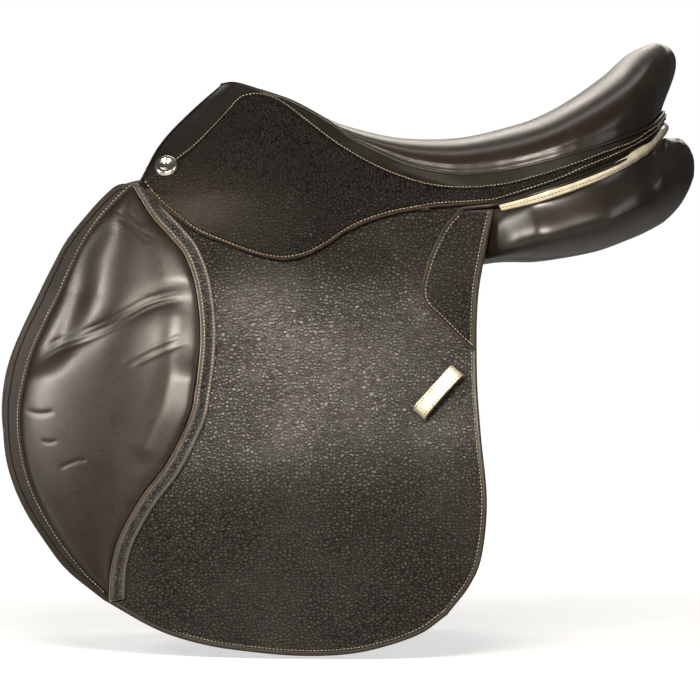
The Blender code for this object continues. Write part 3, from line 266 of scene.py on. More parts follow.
def side_of(points, line, which):
    """1 on the left of a line that is followed from its first point, seen from +Y's far side, else -1."""
    here = np.clip(which, 1, len(line) - 2)
    run = line[here + 1] - line[here - 1]
    gap = points - line[which]
    return np.sign(run[..., 0] * gap[..., -1] - run[..., -1] * gap[..., 0])


def ridge(distance, width):
    """A smooth bump, 1 at distance 0 and nearly gone at twice the width on either side."""
    return np.exp(-(distance / width) ** 2)


def smooth_step(value, low, high):
    t = np.clip((value - low) / (high - low), 0, 1)
    return t * t * (3 - 2 * t)


# Meshes from grids of points

RIM_STEPS = mm([0, 0.4, 0.9, 1.6, 2.5, 3.4, 4.3, 5.3, 6.8, 9.0])
EDGE_REACH = mm(12)
TINY = 1e-12


def near_rim(away, reach=EDGE_REACH):
    """1 on a rim, falling to 0 at a distance from it."""
    return np.clip(1 - away / reach, 0, 1)


def whole_turn(count):
    return np.linspace(0, 2 * math.pi, count, endpoint=False)


def clustered(length, count, near_end=True):
    """Shares of a length, with fine steps near its ends for a rounded rim and a groove beside it."""
    start = RIM_STEPS / length
    end = 1 - RIM_STEPS[::-1] / length if near_end else np.ones(1)
    middle = np.linspace(start[-1], end[0], count)[1:-1]
    return np.concatenate([start, middle, end])


def coons_patch(top, bottom, front, rear, across, down):
    """A grid [row, column] of (x, z) points that fills four edges, at the given shares of their lengths."""
    u, v = across[None, :, None], down[:, None, None]
    top, bottom = even_rail(top, across)[None], even_rail(bottom, across)[None]
    front, rear = even_rail(front, down)[:, None], even_rail(rear, down)[:, None]
    corners = ((1 - u) * (1 - v) * top[:, :1] + u * (1 - v) * top[:, -1:]
               + (1 - u) * v * bottom[:, :1] + u * v * bottom[:, -1:])
    return (1 - v) * top + v * bottom + (1 - u) * front + u * rear - corners


def between(front, rear, across, down):
    """A grid of (x, z) points that runs straight across from one line to another."""
    left, right = even_rail(front, down)[:, None], even_rail(rear, down)[:, None]
    return left + (right - left) * across[None, :, None]


def grid_normals(grid, outwards=1):
    """Unit normals of a grid, on the side that faces outwards, which is +Y at its middle."""
    rows, columns = np.gradient(grid, axis=0), np.gradient(grid, axis=1)
    normal = np.cross(rows, columns)
    normal[np.linalg.norm(normal, axis=2) < TINY] = (0, 1, 0)
    normal = unit(normal, TINY)
    middle = normal[grid.shape[0] // 2, grid.shape[1] // 2]
    return normal * (outwards * (1 if middle[1] >= 0 else -1))


def rim_distance(grid, sides="tbfr"):
    """Distance of each grid point from the grid's rim, along the named sides: top, bottom, front, rear."""
    lines = {"t": grid[0], "b": grid[-1], "f": grid[:, 0], "r": grid[:, -1]}
    away = np.full(grid.shape[:2], 1.0)
    for side in sides:
        line = lines[side]
        fine = np.concatenate([line[:-1] + (line[1:] - line[:-1]) * k / 4 for k in range(4)] + [line[-1:]])
        away = np.minimum(away, nearest(grid, fine)[0])
    return away


def new_object(name, mesh, material):
    obj = bpy.data.objects.new(name, mesh)
    bpy.context.scene.collection.objects.link(obj)
    if material is not None and not mesh.materials:
        mesh.materials.append(material)
    return obj


def shade_smooth(mesh, sharp_degrees=50):
    """Smooth shading with the mesh's own hard edges kept."""
    mesh.polygons.foreach_set("use_smooth", np.ones(len(mesh.polygons), bool))
    mesh.set_sharp_from_angle(angle=math.radians(sharp_degrees))


def close_up(mesh, merge=0.00001):
    """Merges doubles and turns the faces outwards; point values go with their points."""
    bm = bmesh.new()
    bm.from_mesh(mesh)
    bmesh.ops.remove_doubles(bm, verts=bm.verts, dist=merge)
    bmesh.ops.dissolve_degenerate(bm, dist=merge / 4, edges=bm.edges)
    bmesh.ops.recalc_face_normals(bm, faces=bm.faces)
    if bm.calc_volume(signed=True) < 0:
        bmesh.ops.reverse_faces(bm, faces=bm.faces)
    bm.to_mesh(mesh)
    bm.free()


def mesh_from(name, points, faces, values=None):
    """A mesh from points, faces and a dictionary of one number for each point."""
    mesh = bpy.data.meshes.new(name)
    mesh.from_pydata(np.asarray(points).tolist(), [], faces)
    for key, value in (values or {}).items():
        layer = mesh.attributes.new(key, "FLOAT", "POINT")
        layer.data.foreach_set("value", np.asarray(value, np.float32).ravel())
    return mesh


def grid_faces(rows, columns, first=0, loop=False):
    """Faces of a grid whose points are counted row by row; with loop the last column meets the first."""
    faces = []
    for r in range(rows - 1):
        for c in range(columns if loop else columns - 1):
            d = (c + 1) % columns
            a, b = first + r * columns + c, first + r * columns + d
            faces.append((a, b, b + columns, a + columns))
    return faces


def end_fans(rows, columns):
    """Faces from the ends of a looped grid to two tips, which are counted after its points."""
    faces, last, tip = [], (rows - 1) * columns, rows * columns
    for k in range(columns):
        following = (k + 1) % columns
        faces += [(following, k, tip), (last + k, last + following, tip + 1)]
    return faces


def end_caps(rows, columns):
    """One flat face over each end of a looped grid."""
    return [tuple(range(columns - 1, -1, -1)), tuple(range((rows - 1) * columns, rows * columns))]


def shell(name, outer, inner, material, values=None, sharp_degrees=50):
    """A closed sheet between two grids of the same shape, as an object."""
    rows, columns = outer.shape[:2]
    count = rows * columns
    faces = grid_faces(rows, columns) + [f[::-1] for f in grid_faces(rows, columns, count)]
    rim = list(range(columns))
    rim += [r * columns + columns - 1 for r in range(1, rows)]
    rim += [(rows - 1) * columns + c for c in range(columns - 2, -1, -1)]
    rim += [r * columns for r in range(rows - 2, 0, -1)]
    for a, b in zip(rim, rim[1:] + rim[:1]):
        faces.append((b, a, a + count, b + count))
    points = np.concatenate([outer.reshape(-1, 3), inner.reshape(-1, 3)])
    both = {key: np.concatenate([value.ravel(), value.ravel()]) for key, value in (values or {}).items()}
    mesh = mesh_from(name, points, faces, both)
    close_up(mesh)
    shade_smooth(mesh, sharp_degrees)
    return new_object(name, mesh, material)


def leather_sheet(name, sign, outer, thickness, material, away, lift=0.0, round_over=0.0012, values=None):
    """A sheet of leather with a rounded rim. away is the distance from the rim, lift what stands proud."""
    normals = grid_normals(outer)
    drop = 0.42 * thickness * near_rim(away, round_over) ** 2
    face = outer + normals * (lift - drop)[..., None]
    back = outer - normals * (thickness - drop)[..., None]
    flip = np.array((1, sign, 1))
    return shell(name, face * flip, back * flip, material, {"near_edge": near_rim(away), **(values or {})})


def tube(name, path, radius, material, sign=1, sides=10, flat=1.0, normals=None):
    """A round or flattened cord along a path."""
    run = unit(np.gradient(path, axis=0))
    if normals is None:
        normals = np.tile((0.0, 1.0, 0.0), (len(path), 1))
    up = unit(normals - run * (normals * run).sum(axis=1)[:, None], 1e-9)
    across = np.cross(run, up)
    angles = whole_turn(sides)
    ring = (across[:, None] * np.cos(angles)[None, :, None]
            + up[:, None] * np.sin(angles)[None, :, None] * flat)
    tips = path[[0, -1]] + run[[0, -1]] * radius * np.array([[-0.5], [0.5]])
    points = np.concatenate([(path[:, None] + ring * radius).reshape(-1, 3), tips]) * np.array((1, sign, 1))
    mesh = mesh_from(name, points, grid_faces(len(path), sides, loop=True) + end_fans(len(path), sides))
    close_up(mesh, merge=0.000002)
    shade_smooth(mesh, 60)
    return new_object(name, mesh, material)


def joined(name, objects):
    """One object from several, with their materials and point values kept."""
    bpy.ops.object.select_all(action="DESELECT")
    for obj in objects:
        obj.select_set(True)
    bpy.context.view_layer.objects.active = objects[0]
    bpy.ops.object.join()
    objects[0].name = objects[0].data.name = name
    return objects[0]


def surface_of(*grids):
    """A search tree over some grids of points, for laying lines on them."""
    points, faces = [], []
    for grid in grids:
        faces += grid_faces(*grid.shape[:2], first=len(points))
        points += grid.reshape(-1, 3).tolist()
    return BVHTree.FromPolygons(points, faces)


def laid_on(tree, line, height=0.0, reach=0.06):
    """A line of the right side brought to a surface from outside, and the surface's normals there."""
    places, normals = [], []
    for point in line:
        start = Vector(point) + Vector((0, reach, 0))
        hit, normal, _, _ = tree.ray_cast(start, Vector((0, -1, 0)), 2 * reach)
        if hit is None:
            hit, normal, _, _ = tree.find_nearest(Vector(point))
        if normal.y < 0:
            normal = -normal
        places.append(np.array(hit + normal * height))
        normals.append(np.array(normal))
    return np.array(places), np.array(normals)


def offset_line(line, distance):
    """A line of (x, z) points moved sideways in its plane, to the right of its direction, seen with z up."""
    run = unit(np.gradient(line, axis=0))
    return line + np.stack([run[:, 1], -run[:, 0]], axis=1) * distance


# Settings that a user would change

def length_setting(name, value, low, high, description):
    return FloatProperty(name=name, description=description, default=value, min=low, max=high, unit="LENGTH")


class SaddleSizes(bpy.types.PropertyGroup):
    seat_leather: length_setting("Seat leather", 0.0022, 0.001, 0.004, "Thickness of the seat's cover")
    skirt_leather: length_setting("Skirt leather", 0.0028, 0.001, 0.004, "Thickness of the skirts")
    flap_leather: length_setting("Flap leather", 0.0025, 0.001, 0.004, "Thickness of the flap's backing")
    pad_height: length_setting("Knee pad height", 0.0112, 0.004, 0.014, "How far a pad stands over the flap")
    stitch_pitch: length_setting("Stitch pitch", 0.0031, 0.002, 0.006, "From one stitch to the next")
    stitch_length: length_setting("Stitch length", 0.0025, 0.001, 0.005, "Length of one stitch")
    thread_width: length_setting("Thread width", 0.00085, 0.0003, 0.002, "Width of the thread")
    pebble_size: length_setting("Grain size", 0.0027, 0.001, 0.006, "Width of one pebble of the grain")


def power_setting(name, value, description):
    return FloatProperty(name=name, description=description, default=value, min=0.0, max=400.0, unit="POWER")


def colour_setting(name, description, value):
    return FloatVectorProperty(name=name, description=description, subtype="COLOR", size=3,
                               min=0.0, max=1.0, default=value)


class SaddleColours(bpy.types.PropertyGroup):
    smooth: colour_setting("Smooth leather", "Seat, pads and panels", (0.0135, 0.0105, 0.0082))
    grained: colour_setting("Grained leather", "Skirts, facings and patches", (0.0115, 0.0095, 0.0070))
    sweat: colour_setting("Sweat flap leather", "The matt leather next to the horse", (0.014, 0.011, 0.008))
    edge: colour_setting("Cut edge", "Burnished edges of the leather", (0.062, 0.042, 0.026))
    trim: colour_setting("Pale trim", "Cantle trim and keepers", (0.70, 0.63, 0.47))
    thread: colour_setting("Pale thread", "Stitching on dark leather", (0.40, 0.33, 0.23))
    dark_thread: colour_setting("Dark thread", "Stitching on the pale trim", (0.10, 0.065, 0.04))
    nickel: colour_setting("Nickel", "Nail heads", (0.76, 0.72, 0.65))
    steel: colour_setting("Steel", "Stirrup bars and tree plates", (0.50, 0.50, 0.51))


# Shader groups and materials

class NodeMaker:
    """Adds nodes to a tree and joins them: inputs are values or other nodes' outputs."""

    def __init__(self, tree):
        self.tree = tree

    def __call__(self, kind, inputs=None, **settings):
        node = self.tree.nodes.new(kind)
        for key, value in settings.items():
            setattr(node, key, value)
        self.feed(node, inputs or {})
        return node

    def feed(self, node, inputs):
        """Sets a node's inputs, or joins them to the outputs that are given for them."""
        for key, value in inputs.items():
            if isinstance(value, bpy.types.NodeSocket):
                self.tree.links.new(value, node.inputs[key])
            else:
                node.inputs[key].default_value = value

    def point_value(self, key):
        return self("ShaderNodeAttribute", attribute_name=key).outputs["Fac"]

    def math(self, operation, a, b=0.0, clamp=False):
        return self("ShaderNodeMath", {0: a, 1: b}, operation=operation, use_clamp=clamp).outputs[0]

    def plus(self, a, b, clamp=False):
        return self.math("ADD", a, b, clamp)

    def less(self, a, b, clamp=False):
        return self.math("SUBTRACT", a, b, clamp)

    def times(self, a, b, clamp=False):
        return self.math("MULTIPLY", a, b, clamp)

    def vector(self, operation, a, b):
        return self("ShaderNodeVectorMath", {0: a, 1: b}, operation=operation).outputs[0]

    def scaled(self, vector, factor):
        return self("ShaderNodeVectorMath", {0: vector, "Scale": factor}, operation="SCALE").outputs[0]

    def mix(self, share, a, b):
        return self("ShaderNodeMix", {0: share, 6: a, 7: b}, data_type="RGBA").outputs[2]

    def spread(self, value, low, high, to_low=0.0, to_high=1.0):
        return self("ShaderNodeMapRange", {0: value, 1: low, 2: high, 3: to_low, 4: to_high},
                    interpolation_type="SMOOTHSTEP").outputs[0]

    def noise(self, vector, scale, detail=2.0, roughness=0.5):
        return self("ShaderNodeTexNoise", {"Vector": vector, "Scale": scale, "Detail": detail,
                                           "Roughness": roughness}).outputs[0]

    def bump(self, height, distance, strength=1.0, over=None):
        inputs = {"Height": height, "Distance": distance, "Strength": strength}
        return self("ShaderNodeBump", inputs if over is None else {**inputs, "Normal": over}).outputs[0]


def shader_group(name, inputs, outputs):
    """A new shader group with named sockets; gives the group, its node maker, its inputs and its end node."""
    group = bpy.data.node_groups.new(name, "ShaderNodeTree")
    for kind, label, value in inputs:
        socket = group.interface.new_socket(label, in_out="INPUT", socket_type=f"NodeSocket{kind}")
        if value is not None:
            socket.default_value = value
    for kind, label in outputs:
        group.interface.new_socket(label, in_out="OUTPUT", socket_type=f"NodeSocket{kind}")
    add = NodeMaker(group)
    return group, add, add("NodeGroupInput").outputs, add("NodeGroupOutput")


def pebble_group():
    """Rounded pebbles with narrow valleys, longer one way, as grained leather has."""
    group, add, given, result = shader_group(
        "pebbled_grain",
        [("Vector", "Vector", None), ("Float", "Size", 0.0027), ("Float", "Stretch", 1.5),
         ("Float", "Waviness", 0.95)],
        [("Float", "Height"), ("Float", "Crest"), ("Float", "Depth")])
    scaled = add.scaled(given["Vector"], add.math("DIVIDE", 1.0, given["Size"]))
    warp = add("ShaderNodeTexNoise", {"Vector": scaled, "Scale": 0.45, "Detail": 2.0}).outputs["Color"]
    centred = add.vector("SUBTRACT", warp, (0.5, 0.5, 0.5))
    bent = add.vector("ADD", scaled, add.scaled(centred, given["Waviness"]))
    share = add.math("DIVIDE", 1.0, given["Stretch"])
    long = add.vector("MULTIPLY", bent, add("ShaderNodeCombineXYZ", {0: share, 1: 1.0, 2: 1.0}).outputs[0])
    edges = add("ShaderNodeTexVoronoi", {"Vector": long, "Scale": 1.0, "Randomness": 0.9},
                feature="DISTANCE_TO_EDGE").outputs["Distance"]
    dome = add.spread(edges, -0.06, 0.42)
    ironed = add.noise(given["Vector"], 11.0)
    add.feed(result, {"Height": add.plus(dome, add.times(add.noise(scaled, 4.0), 0.14)),
                      "Crest": add.spread(edges, 0.03, 0.20),
                      "Depth": add.spread(ironed, 0.34, 0.58, 0.72, 1.0)})
    return group


def pore_group():
    """Fine pores and hair creases of smooth leather."""
    group, add, given, result = shader_group(
        "leather_pores", [("Vector", "Vector", None), ("Float", "Size", 0.0007)], [("Float", "Height")])
    scaled = add.scaled(given["Vector"], add.math("DIVIDE", 1.0, given["Size"]))
    edges = add("ShaderNodeTexVoronoi", {"Vector": scaled, "Scale": 1.0},
                feature="DISTANCE_TO_EDGE").outputs["Distance"]
    cloud = add.noise(scaled, 0.22, 4.0, 0.65)
    add.feed(result, {"Height": add.plus(add.times(add.spread(edges, 0.0, 0.16), 0.35), cloud)})
    return group


def drift_group():
    """Slow changes of colour over a hide: darker dyed patches and browner rubbed ones."""
    group, add, given, result = shader_group(
        "hide_drift",
        [("Vector", "Vector", None), ("Color", "Colour", (0.02, 0.02, 0.02, 1)),
         ("Color", "Rubbed", (0.06, 0.045, 0.03, 1)), ("Float", "Patch Size", 0.09),
         ("Float", "Amount", 0.5)],
        [("Color", "Colour")])
    scale = add.math("DIVIDE", 1.0, given["Patch Size"])
    mask = add.spread(add.noise(given["Vector"], scale, 3.0), 0.42, 0.75)
    rubbed = add.mix(add.times(mask, given["Amount"]), given["Colour"], given["Rubbed"])
    small = add.noise(given["Vector"], add.times(scale, 7.0), 4.0)
    add.feed(result, {"Colour": add.scaled(rubbed, add.spread(small, 0.3, 0.7, 0.82, 1.12))})
    return group


def edge_group():
    """Burnished brown along a cut rim, and a lighter colour where a hand or leg polishes the leather, which
    is partly wear and partly painted sheen.
    """
    group, add, given, result = shader_group(
        "edge_wear_and_sheen",
        [("Color", "Colour", (0.02, 0.02, 0.02, 1)), ("Color", "Edge", (0.1, 0.06, 0.04, 1)),
         ("Float", "Rim", 0.0), ("Float", "Worn", 0.0), ("Vector", "Vector", None)],
        [("Color", "Colour")])
    broken = add.spread(add.noise(given["Vector"], 420.0, 3.0), 0.3, 0.62)
    rim = add.times(given["Rim"], add.plus(add.times(broken, 0.6), 0.25), clamp=True)
    # Lighter colour where the leather is rubbed: partly wear and partly painted sheen.
    rubbed = add.times(given["Worn"], add.plus(add.times(broken, 0.18), 0.10))
    first = add.mix(rubbed, given["Colour"], given["Edge"])
    add.feed(result, {"Colour": add.mix(rim, first, given["Edge"])})
    return group


def polish_group():
    """Roughness that changes with smears and with wear."""
    group, add, given, result = shader_group(
        "polish",
        [("Vector", "Vector", None), ("Float", "Roughness", 0.4), ("Float", "Change", 0.1),
         ("Float", "Worn", 0.0), ("Float", "Rubbed Smooth", 0.06)],
        [("Float", "Roughness")])
    signed = add.spread(add.noise(given["Vector"], 26.0, 5.0, 0.6), 0.25, 0.75, -1.0, 1.0)
    rough = add.plus(given["Roughness"], add.times(signed, given["Change"]))
    add.feed(result, {"Roughness": add.less(rough, add.times(given["Worn"], given["Rubbed Smooth"]))})
    return group


def group_of(name):
    """A shared shader group, built the first time that it is asked for."""
    makers = {"pebbled_grain": pebble_group, "leather_pores": pore_group, "hide_drift": drift_group,
              "edge_wear_and_sheen": edge_group, "polish": polish_group}
    return bpy.data.node_groups.get(name) or makers[name]()


def new_material(name):
    """An empty node material with its node maker, its Principled shader and its Object coordinates."""
    material = bpy.data.materials.new(name)
    material.use_nodes = True
    material.node_tree.nodes.clear()
    add = NodeMaker(material.node_tree)
    shader = add("ShaderNodeBsdfPrincipled")
    add("ShaderNodeOutputMaterial", {"Surface": shader.outputs[0]})
    return material, add, shader, add("ShaderNodeTexCoord").outputs["Object"]


def use_group(add, name, inputs):
    return add("ShaderNodeGroup", inputs, node_tree=group_of(name)).outputs


def rgba(colour, factor=1.0):
    return (colour[0] * factor, colour[1] * factor, colour[2] * factor, 1.0)


def inside_rim(distance):
    """The value of near_edge at a distance inside the rim."""
    return 1 - distance / EDGE_REACH


def leather(name, colour, roughness, grain=0.0, stretch=1.4, coat=0.2, coat_roughness=0.25, depth=0.00034,
            groove_at=0.0, seam=False, rub=0.06, shine=0.55):
    """Dyed leather. Its points may hold near_edge, 1 at the rim and 0 EDGE_REACH inside it, a share of rubbed
    wear and painted sheen, crease, darkened as painted shade, and, with seam, the signed distance from a
    seam, as a share of EDGE_REACH, positive on the smooth side."""
    material, add, shader, place = new_material(name)
    near, wear_and_sheen, crease = (add.point_value(key) for key in ("near_edge", "wear_and_sheen", "crease"))
    hard_rubbed = rub > 0.1
    rim = add.spread(near, inside_rim(0.0016), inside_rim(0.0004))
    hide = use_group(add, "hide_drift", {
        "Vector": place, "Colour": rgba(colour), "Rubbed": rgba(colour, 1.9)})
    tone = use_group(add, "edge_wear_and_sheen", {
        "Colour": hide["Colour"], "Edge": rgba(bpy.context.scene.saddle_colours.edge), "Rim": rim,
        "Worn": wear_and_sheen, "Vector": place})["Colour"]
    pores = use_group(add, "leather_pores", {"Vector": place})["Height"]
    surface = add.bump(pores, 0.00012, 0.5 if grain else 0.14)
    rough = use_group(add, "polish", {
        "Vector": place, "Roughness": roughness, "Change": 0.07 if grain else 0.03, "Worn": wear_and_sheen,
        "Rubbed Smooth": rub})["Roughness"]
    plain = add.plus(add.times(wear_and_sheen, 0.1 if hard_rubbed else 0.75),
                     add.spread(near, inside_rim(0.0034), inside_rim(0.0026)), clamp=True)
    # line marks the creases, the groove near the rim and the seam's groove; they are pressed in by bump and
    # darkened with painted shade.
    line = add.times(crease, 1.0, clamp=True)
    if groove_at:
        away = add.math("ABSOLUTE", add.less(near, inside_rim(groove_at)))
        line = add.plus(line, add.spread(away, 0.0, 0.0007 / EDGE_REACH, 1.0, 0.0), clamp=True)
    if seam:
        signed = add.point_value("seam")
        step = add.spread(signed, -0.0003 / EDGE_REACH, 0.0010 / EDGE_REACH)
        plain = add.math("MAXIMUM", plain, step)
        away = add.math("ABSOLUTE", add.plus(signed, 0.0005 / EDGE_REACH))
        line = add.plus(line, add.spread(away, 0.0, 0.0011 / EDGE_REACH, 1.0, 0.0), clamp=True)
        surface = add.bump(step, 0.0008, over=surface)
    surface = add.bump(add.less(1.0, line), 0.0006, over=surface)
    shader.inputs["Specular IOR Level"].default_value = gloss = shine
    if grain > 0:
        pebbles = use_group(add, "pebbled_grain", {
            "Vector": place, "Size": bpy.context.scene.saddle_sizes.pebble_size, "Stretch": stretch})
        shown = add.times(add.less(1.0, plain, clamp=True), add.times(pebbles["Depth"], grain))
        surface = add.bump(add.times(pebbles["Height"], shown), depth, over=surface)
        crest = add.times(pebbles["Crest"], shown)
        valley = add.less(shown, crest, clamp=True)
        # Pebble crests are painted lighter, partly wear and partly a painted highlight; the valleys between
        # them are painted darker as painted shade.
        tone = add.mix(add.times(crest, 0.35), tone, rgba(colour, 1.9))
        tone = add.mix(valley, tone, rgba(colour, 0.4))
        rough = add.plus(rough, add.times(valley, 0.14))
        gloss = add.times(add.less(1.0, add.times(valley, 0.65), clamp=True), shine)
        if hard_rubbed:
            gloss = add.times(gloss, add.spread(wear_and_sheen, 0.0, 1.0, 0.4, 1.0))
    # Painted shade: the creases and grooves are darkened.
    tone = add.mix(add.times(line, 0.75), tone, rgba(colour, 0.3))
    add.feed(shader, {"Base Color": tone, "Roughness": rough, "Normal": surface, "Specular IOR Level": gloss,
                      "Coat Weight": coat, "Coat Roughness": coat_roughness})
    return material


def patent(name, colour):
    """Pale patent leather with a glassy coat, a little cloudy and darker where it is handled."""
    material, add, shader, place = new_material(name)
    rim = add.spread(add.point_value("near_edge"), inside_rim(0.0015), inside_rim(0.0006))
    hide = use_group(add, "hide_drift", {"Vector": place, "Colour": rgba(colour, 0.78),
                                         "Rubbed": rgba(colour, 0.64), "Patch Size": 0.05, "Amount": 0.5})
    pearl = add.spread(add.noise(place, 900.0), 0.35, 0.7, 0.0, 0.12)
    tone = add.mix(pearl, hide["Colour"], (0.74, 0.70, 0.59, 1))
    tone = add.mix(add.times(rim, 0.85), tone, rgba(bpy.context.scene.saddle_colours.edge, 0.7))
    pores = use_group(add, "leather_pores", {"Vector": place, "Size": 0.0011})["Height"]
    rough = use_group(add, "polish", {"Vector": place, "Roughness": 0.34, "Change": 0.06})["Roughness"]
    add.feed(shader, {"Base Color": tone, "Roughness": rough, "Normal": add.bump(pores, 0.00009, 0.5),
                      "Coat Weight": 0.45, "Coat Roughness": 0.12})
    return material


def metal(name, colour, roughness, brushed=0.0):
    """Plated or forged metal with smudges, and fine lines along it where it is brushed."""
    material, add, shader, place = new_material(name)
    hide = use_group(add, "hide_drift", {"Vector": place, "Colour": rgba(colour), "Rubbed": rgba(colour, 0.6),
                                         "Patch Size": 0.02, "Amount": 0.45})
    lines = add("ShaderNodeMapping", {"Vector": place, "Scale": (60.0, 900.0, 900.0)}).outputs[0]
    surface = add.bump(add.noise(lines, 1.0, 3.0), 0.00003, 0.02 + brushed)
    rough = use_group(add, "polish", {"Vector": place, "Roughness": roughness, "Change": 0.08})["Roughness"]
    add.feed(shader, {"Base Color": hide["Colour"], "Roughness": rough, "Normal": surface, "Metallic": 1.0})
    return material


def thread(name, colour):
    """Waxed linen thread with its twist."""
    material, add, shader, place = new_material(name)
    strands = add("ShaderNodeTexWave", {"Vector": place, "Scale": 900.0, "Distortion": 3.0}).outputs["Fac"]
    patchy = add.spread(add.noise(place, 60.0, 3.0), 0.3, 0.7)
    tone = add.mix(patchy, rgba(colour, 0.62), rgba(colour, 1.15))
    tone = add.mix(add.times(strands, 0.35), tone, rgba(colour, 0.6))
    add.feed(shader, {"Base Color": tone, "Normal": add.bump(strands, 0.0001, 0.5), "Roughness": 0.6})
    return material


def laminated_wood(name):
    """Thin beech plies, one over the other, with grain along them."""
    material, add, shader, place = new_material(name)
    plies = add("ShaderNodeTexWave", {"Vector": place, "Scale": 180.0, "Distortion": 1.2, "Detail": 2.0},
                bands_direction="Z").outputs["Fac"]
    along = add("ShaderNodeMapping", {"Vector": place, "Scale": (14.0, 220.0, 220.0)}).outputs[0]
    grain = add.noise(along, 1.0, 5.0)
    tone = add.mix(plies, (0.50, 0.35, 0.20, 1), (0.62, 0.47, 0.30, 1))
    tone = add.mix(add.spread(grain, 0.45, 0.75, 0.0, 0.5), tone, (0.34, 0.21, 0.11, 1))
    add.feed(shader, {"Base Color": tone, "Normal": add.bump(grain, 0.0002, 0.4), "Roughness": 0.5})
    return material


def woven_canvas(name):
    """Plain woven webbing: warp along the strap, weft across it."""
    material, add, shader, place = new_material(name)
    warp, weft = (add("ShaderNodeTexWave", {"Vector": place, "Scale": scale, "Distortion": 0.6},
                      bands_direction=way).outputs["Fac"] for scale, way in ((260.0, "Y"), (300.0, "X")))
    weave = add.times(warp, weft)
    fuzz = add.spread(add.noise(place, 220.0, 4.0), 0.4, 0.8, 0.0, 0.4)
    # The weave's gaps are painted darker than its threads, as painted shade.
    tone = add.mix(weave, (0.30, 0.25, 0.17, 1), (0.60, 0.53, 0.40, 1))
    tone = add.mix(fuzz, tone, (0.45, 0.38, 0.27, 1))
    add.feed(shader, {"Base Color": tone, "Normal": add.bump(weave, 0.0004, 0.7), "Roughness": 0.9})
    return material


def open_foam(name):
    """Cream seat foam with open cells."""
    material, add, shader, place = new_material(name)
    cells = add("ShaderNodeTexVoronoi", {"Vector": place, "Scale": 620.0}).outputs["Distance"]
    # The middles of the open cells are painted darker, as painted shade in the pores.
    tone = add.mix(cells, (0.36, 0.31, 0.20, 1), (0.72, 0.66, 0.50, 1))
    add.feed(shader, {"Base Color": tone, "Normal": add.bump(cells, 0.0005, 0.6), "Roughness": 0.95})
    return material


def finish_of(name):
    """A material of the saddle, built the first time that it is asked for."""
    found = bpy.data.materials.get(name)
    if found:
        return found
    colours = bpy.context.scene.saddle_colours
    makers = {
        "seat_hide": lambda: leather(name, colours.smooth, 0.32, coat=0.05, coat_roughness=0.24, shine=0.30),
        "panel_hide": lambda: leather(name, colours.smooth, 0.30, coat=0.08, coat_roughness=0.2, shine=0.38),
        "pad_hide": lambda: leather(name, colours.smooth, 0.31, coat=0.05, coat_roughness=0.2, shine=0.29),
        # The skirts take the grained colour at 0.7, painted shade that makes them darker than the flaps'
        # facings.
        "skirt_hide": lambda: leather(name, [0.7 * part for part in colours.grained], 0.46, 1.0, 1.05, 0.0,
                                      0.3, 0.0006, groove_at=0.0030, seam=True, shine=0.15),
        "flap_hide": lambda: leather(name, colours.grained, 0.55, 1.0, 1.3, 0.0, 0.36, 0.0006, rub=0.20,
                                     shine=0.75),
        "flap_back_hide": lambda: leather(name, colours.smooth, 0.36, coat=0.0, groove_at=0.0052, shine=0.14),
        "band_hide": lambda: leather(name, colours.grained, 0.42, 0.8, 1.3, 0.0, 0.36, 0.0003, shine=0.4),
        # Near-black leather in the keepers' slits: painted shadow where the openings are.
        "slit_shadow": lambda: leather(name, (0.006, 0.005, 0.004), 0.7, coat=0.0),
        "sweat_hide": lambda: leather(name, colours.sweat, 0.55, coat=0.05),
        "strap_hide": lambda: leather(name, colours.smooth, 0.46, coat=0.15),
        "edge_hide": lambda: leather(name, colours.edge, 0.40, coat=0.25),
        "patent_hide": lambda: patent(name, colours.trim),
        "pale_thread": lambda: thread(name, colours.thread),
        "dark_thread": lambda: thread(name, colours.dark_thread),
        "nickel_plate": lambda: metal(name, colours.nickel, 0.24),
        "forged_steel": lambda: metal(name, colours.steel, 0.33, 0.5),
        "beech_plies": lambda: laminated_wood(name),
        "canvas_web": lambda: woven_canvas(name),
        "cream_foam": lambda: open_foam(name),
    }
    return makers[name]()


# Stitching, set out along lines by a node group

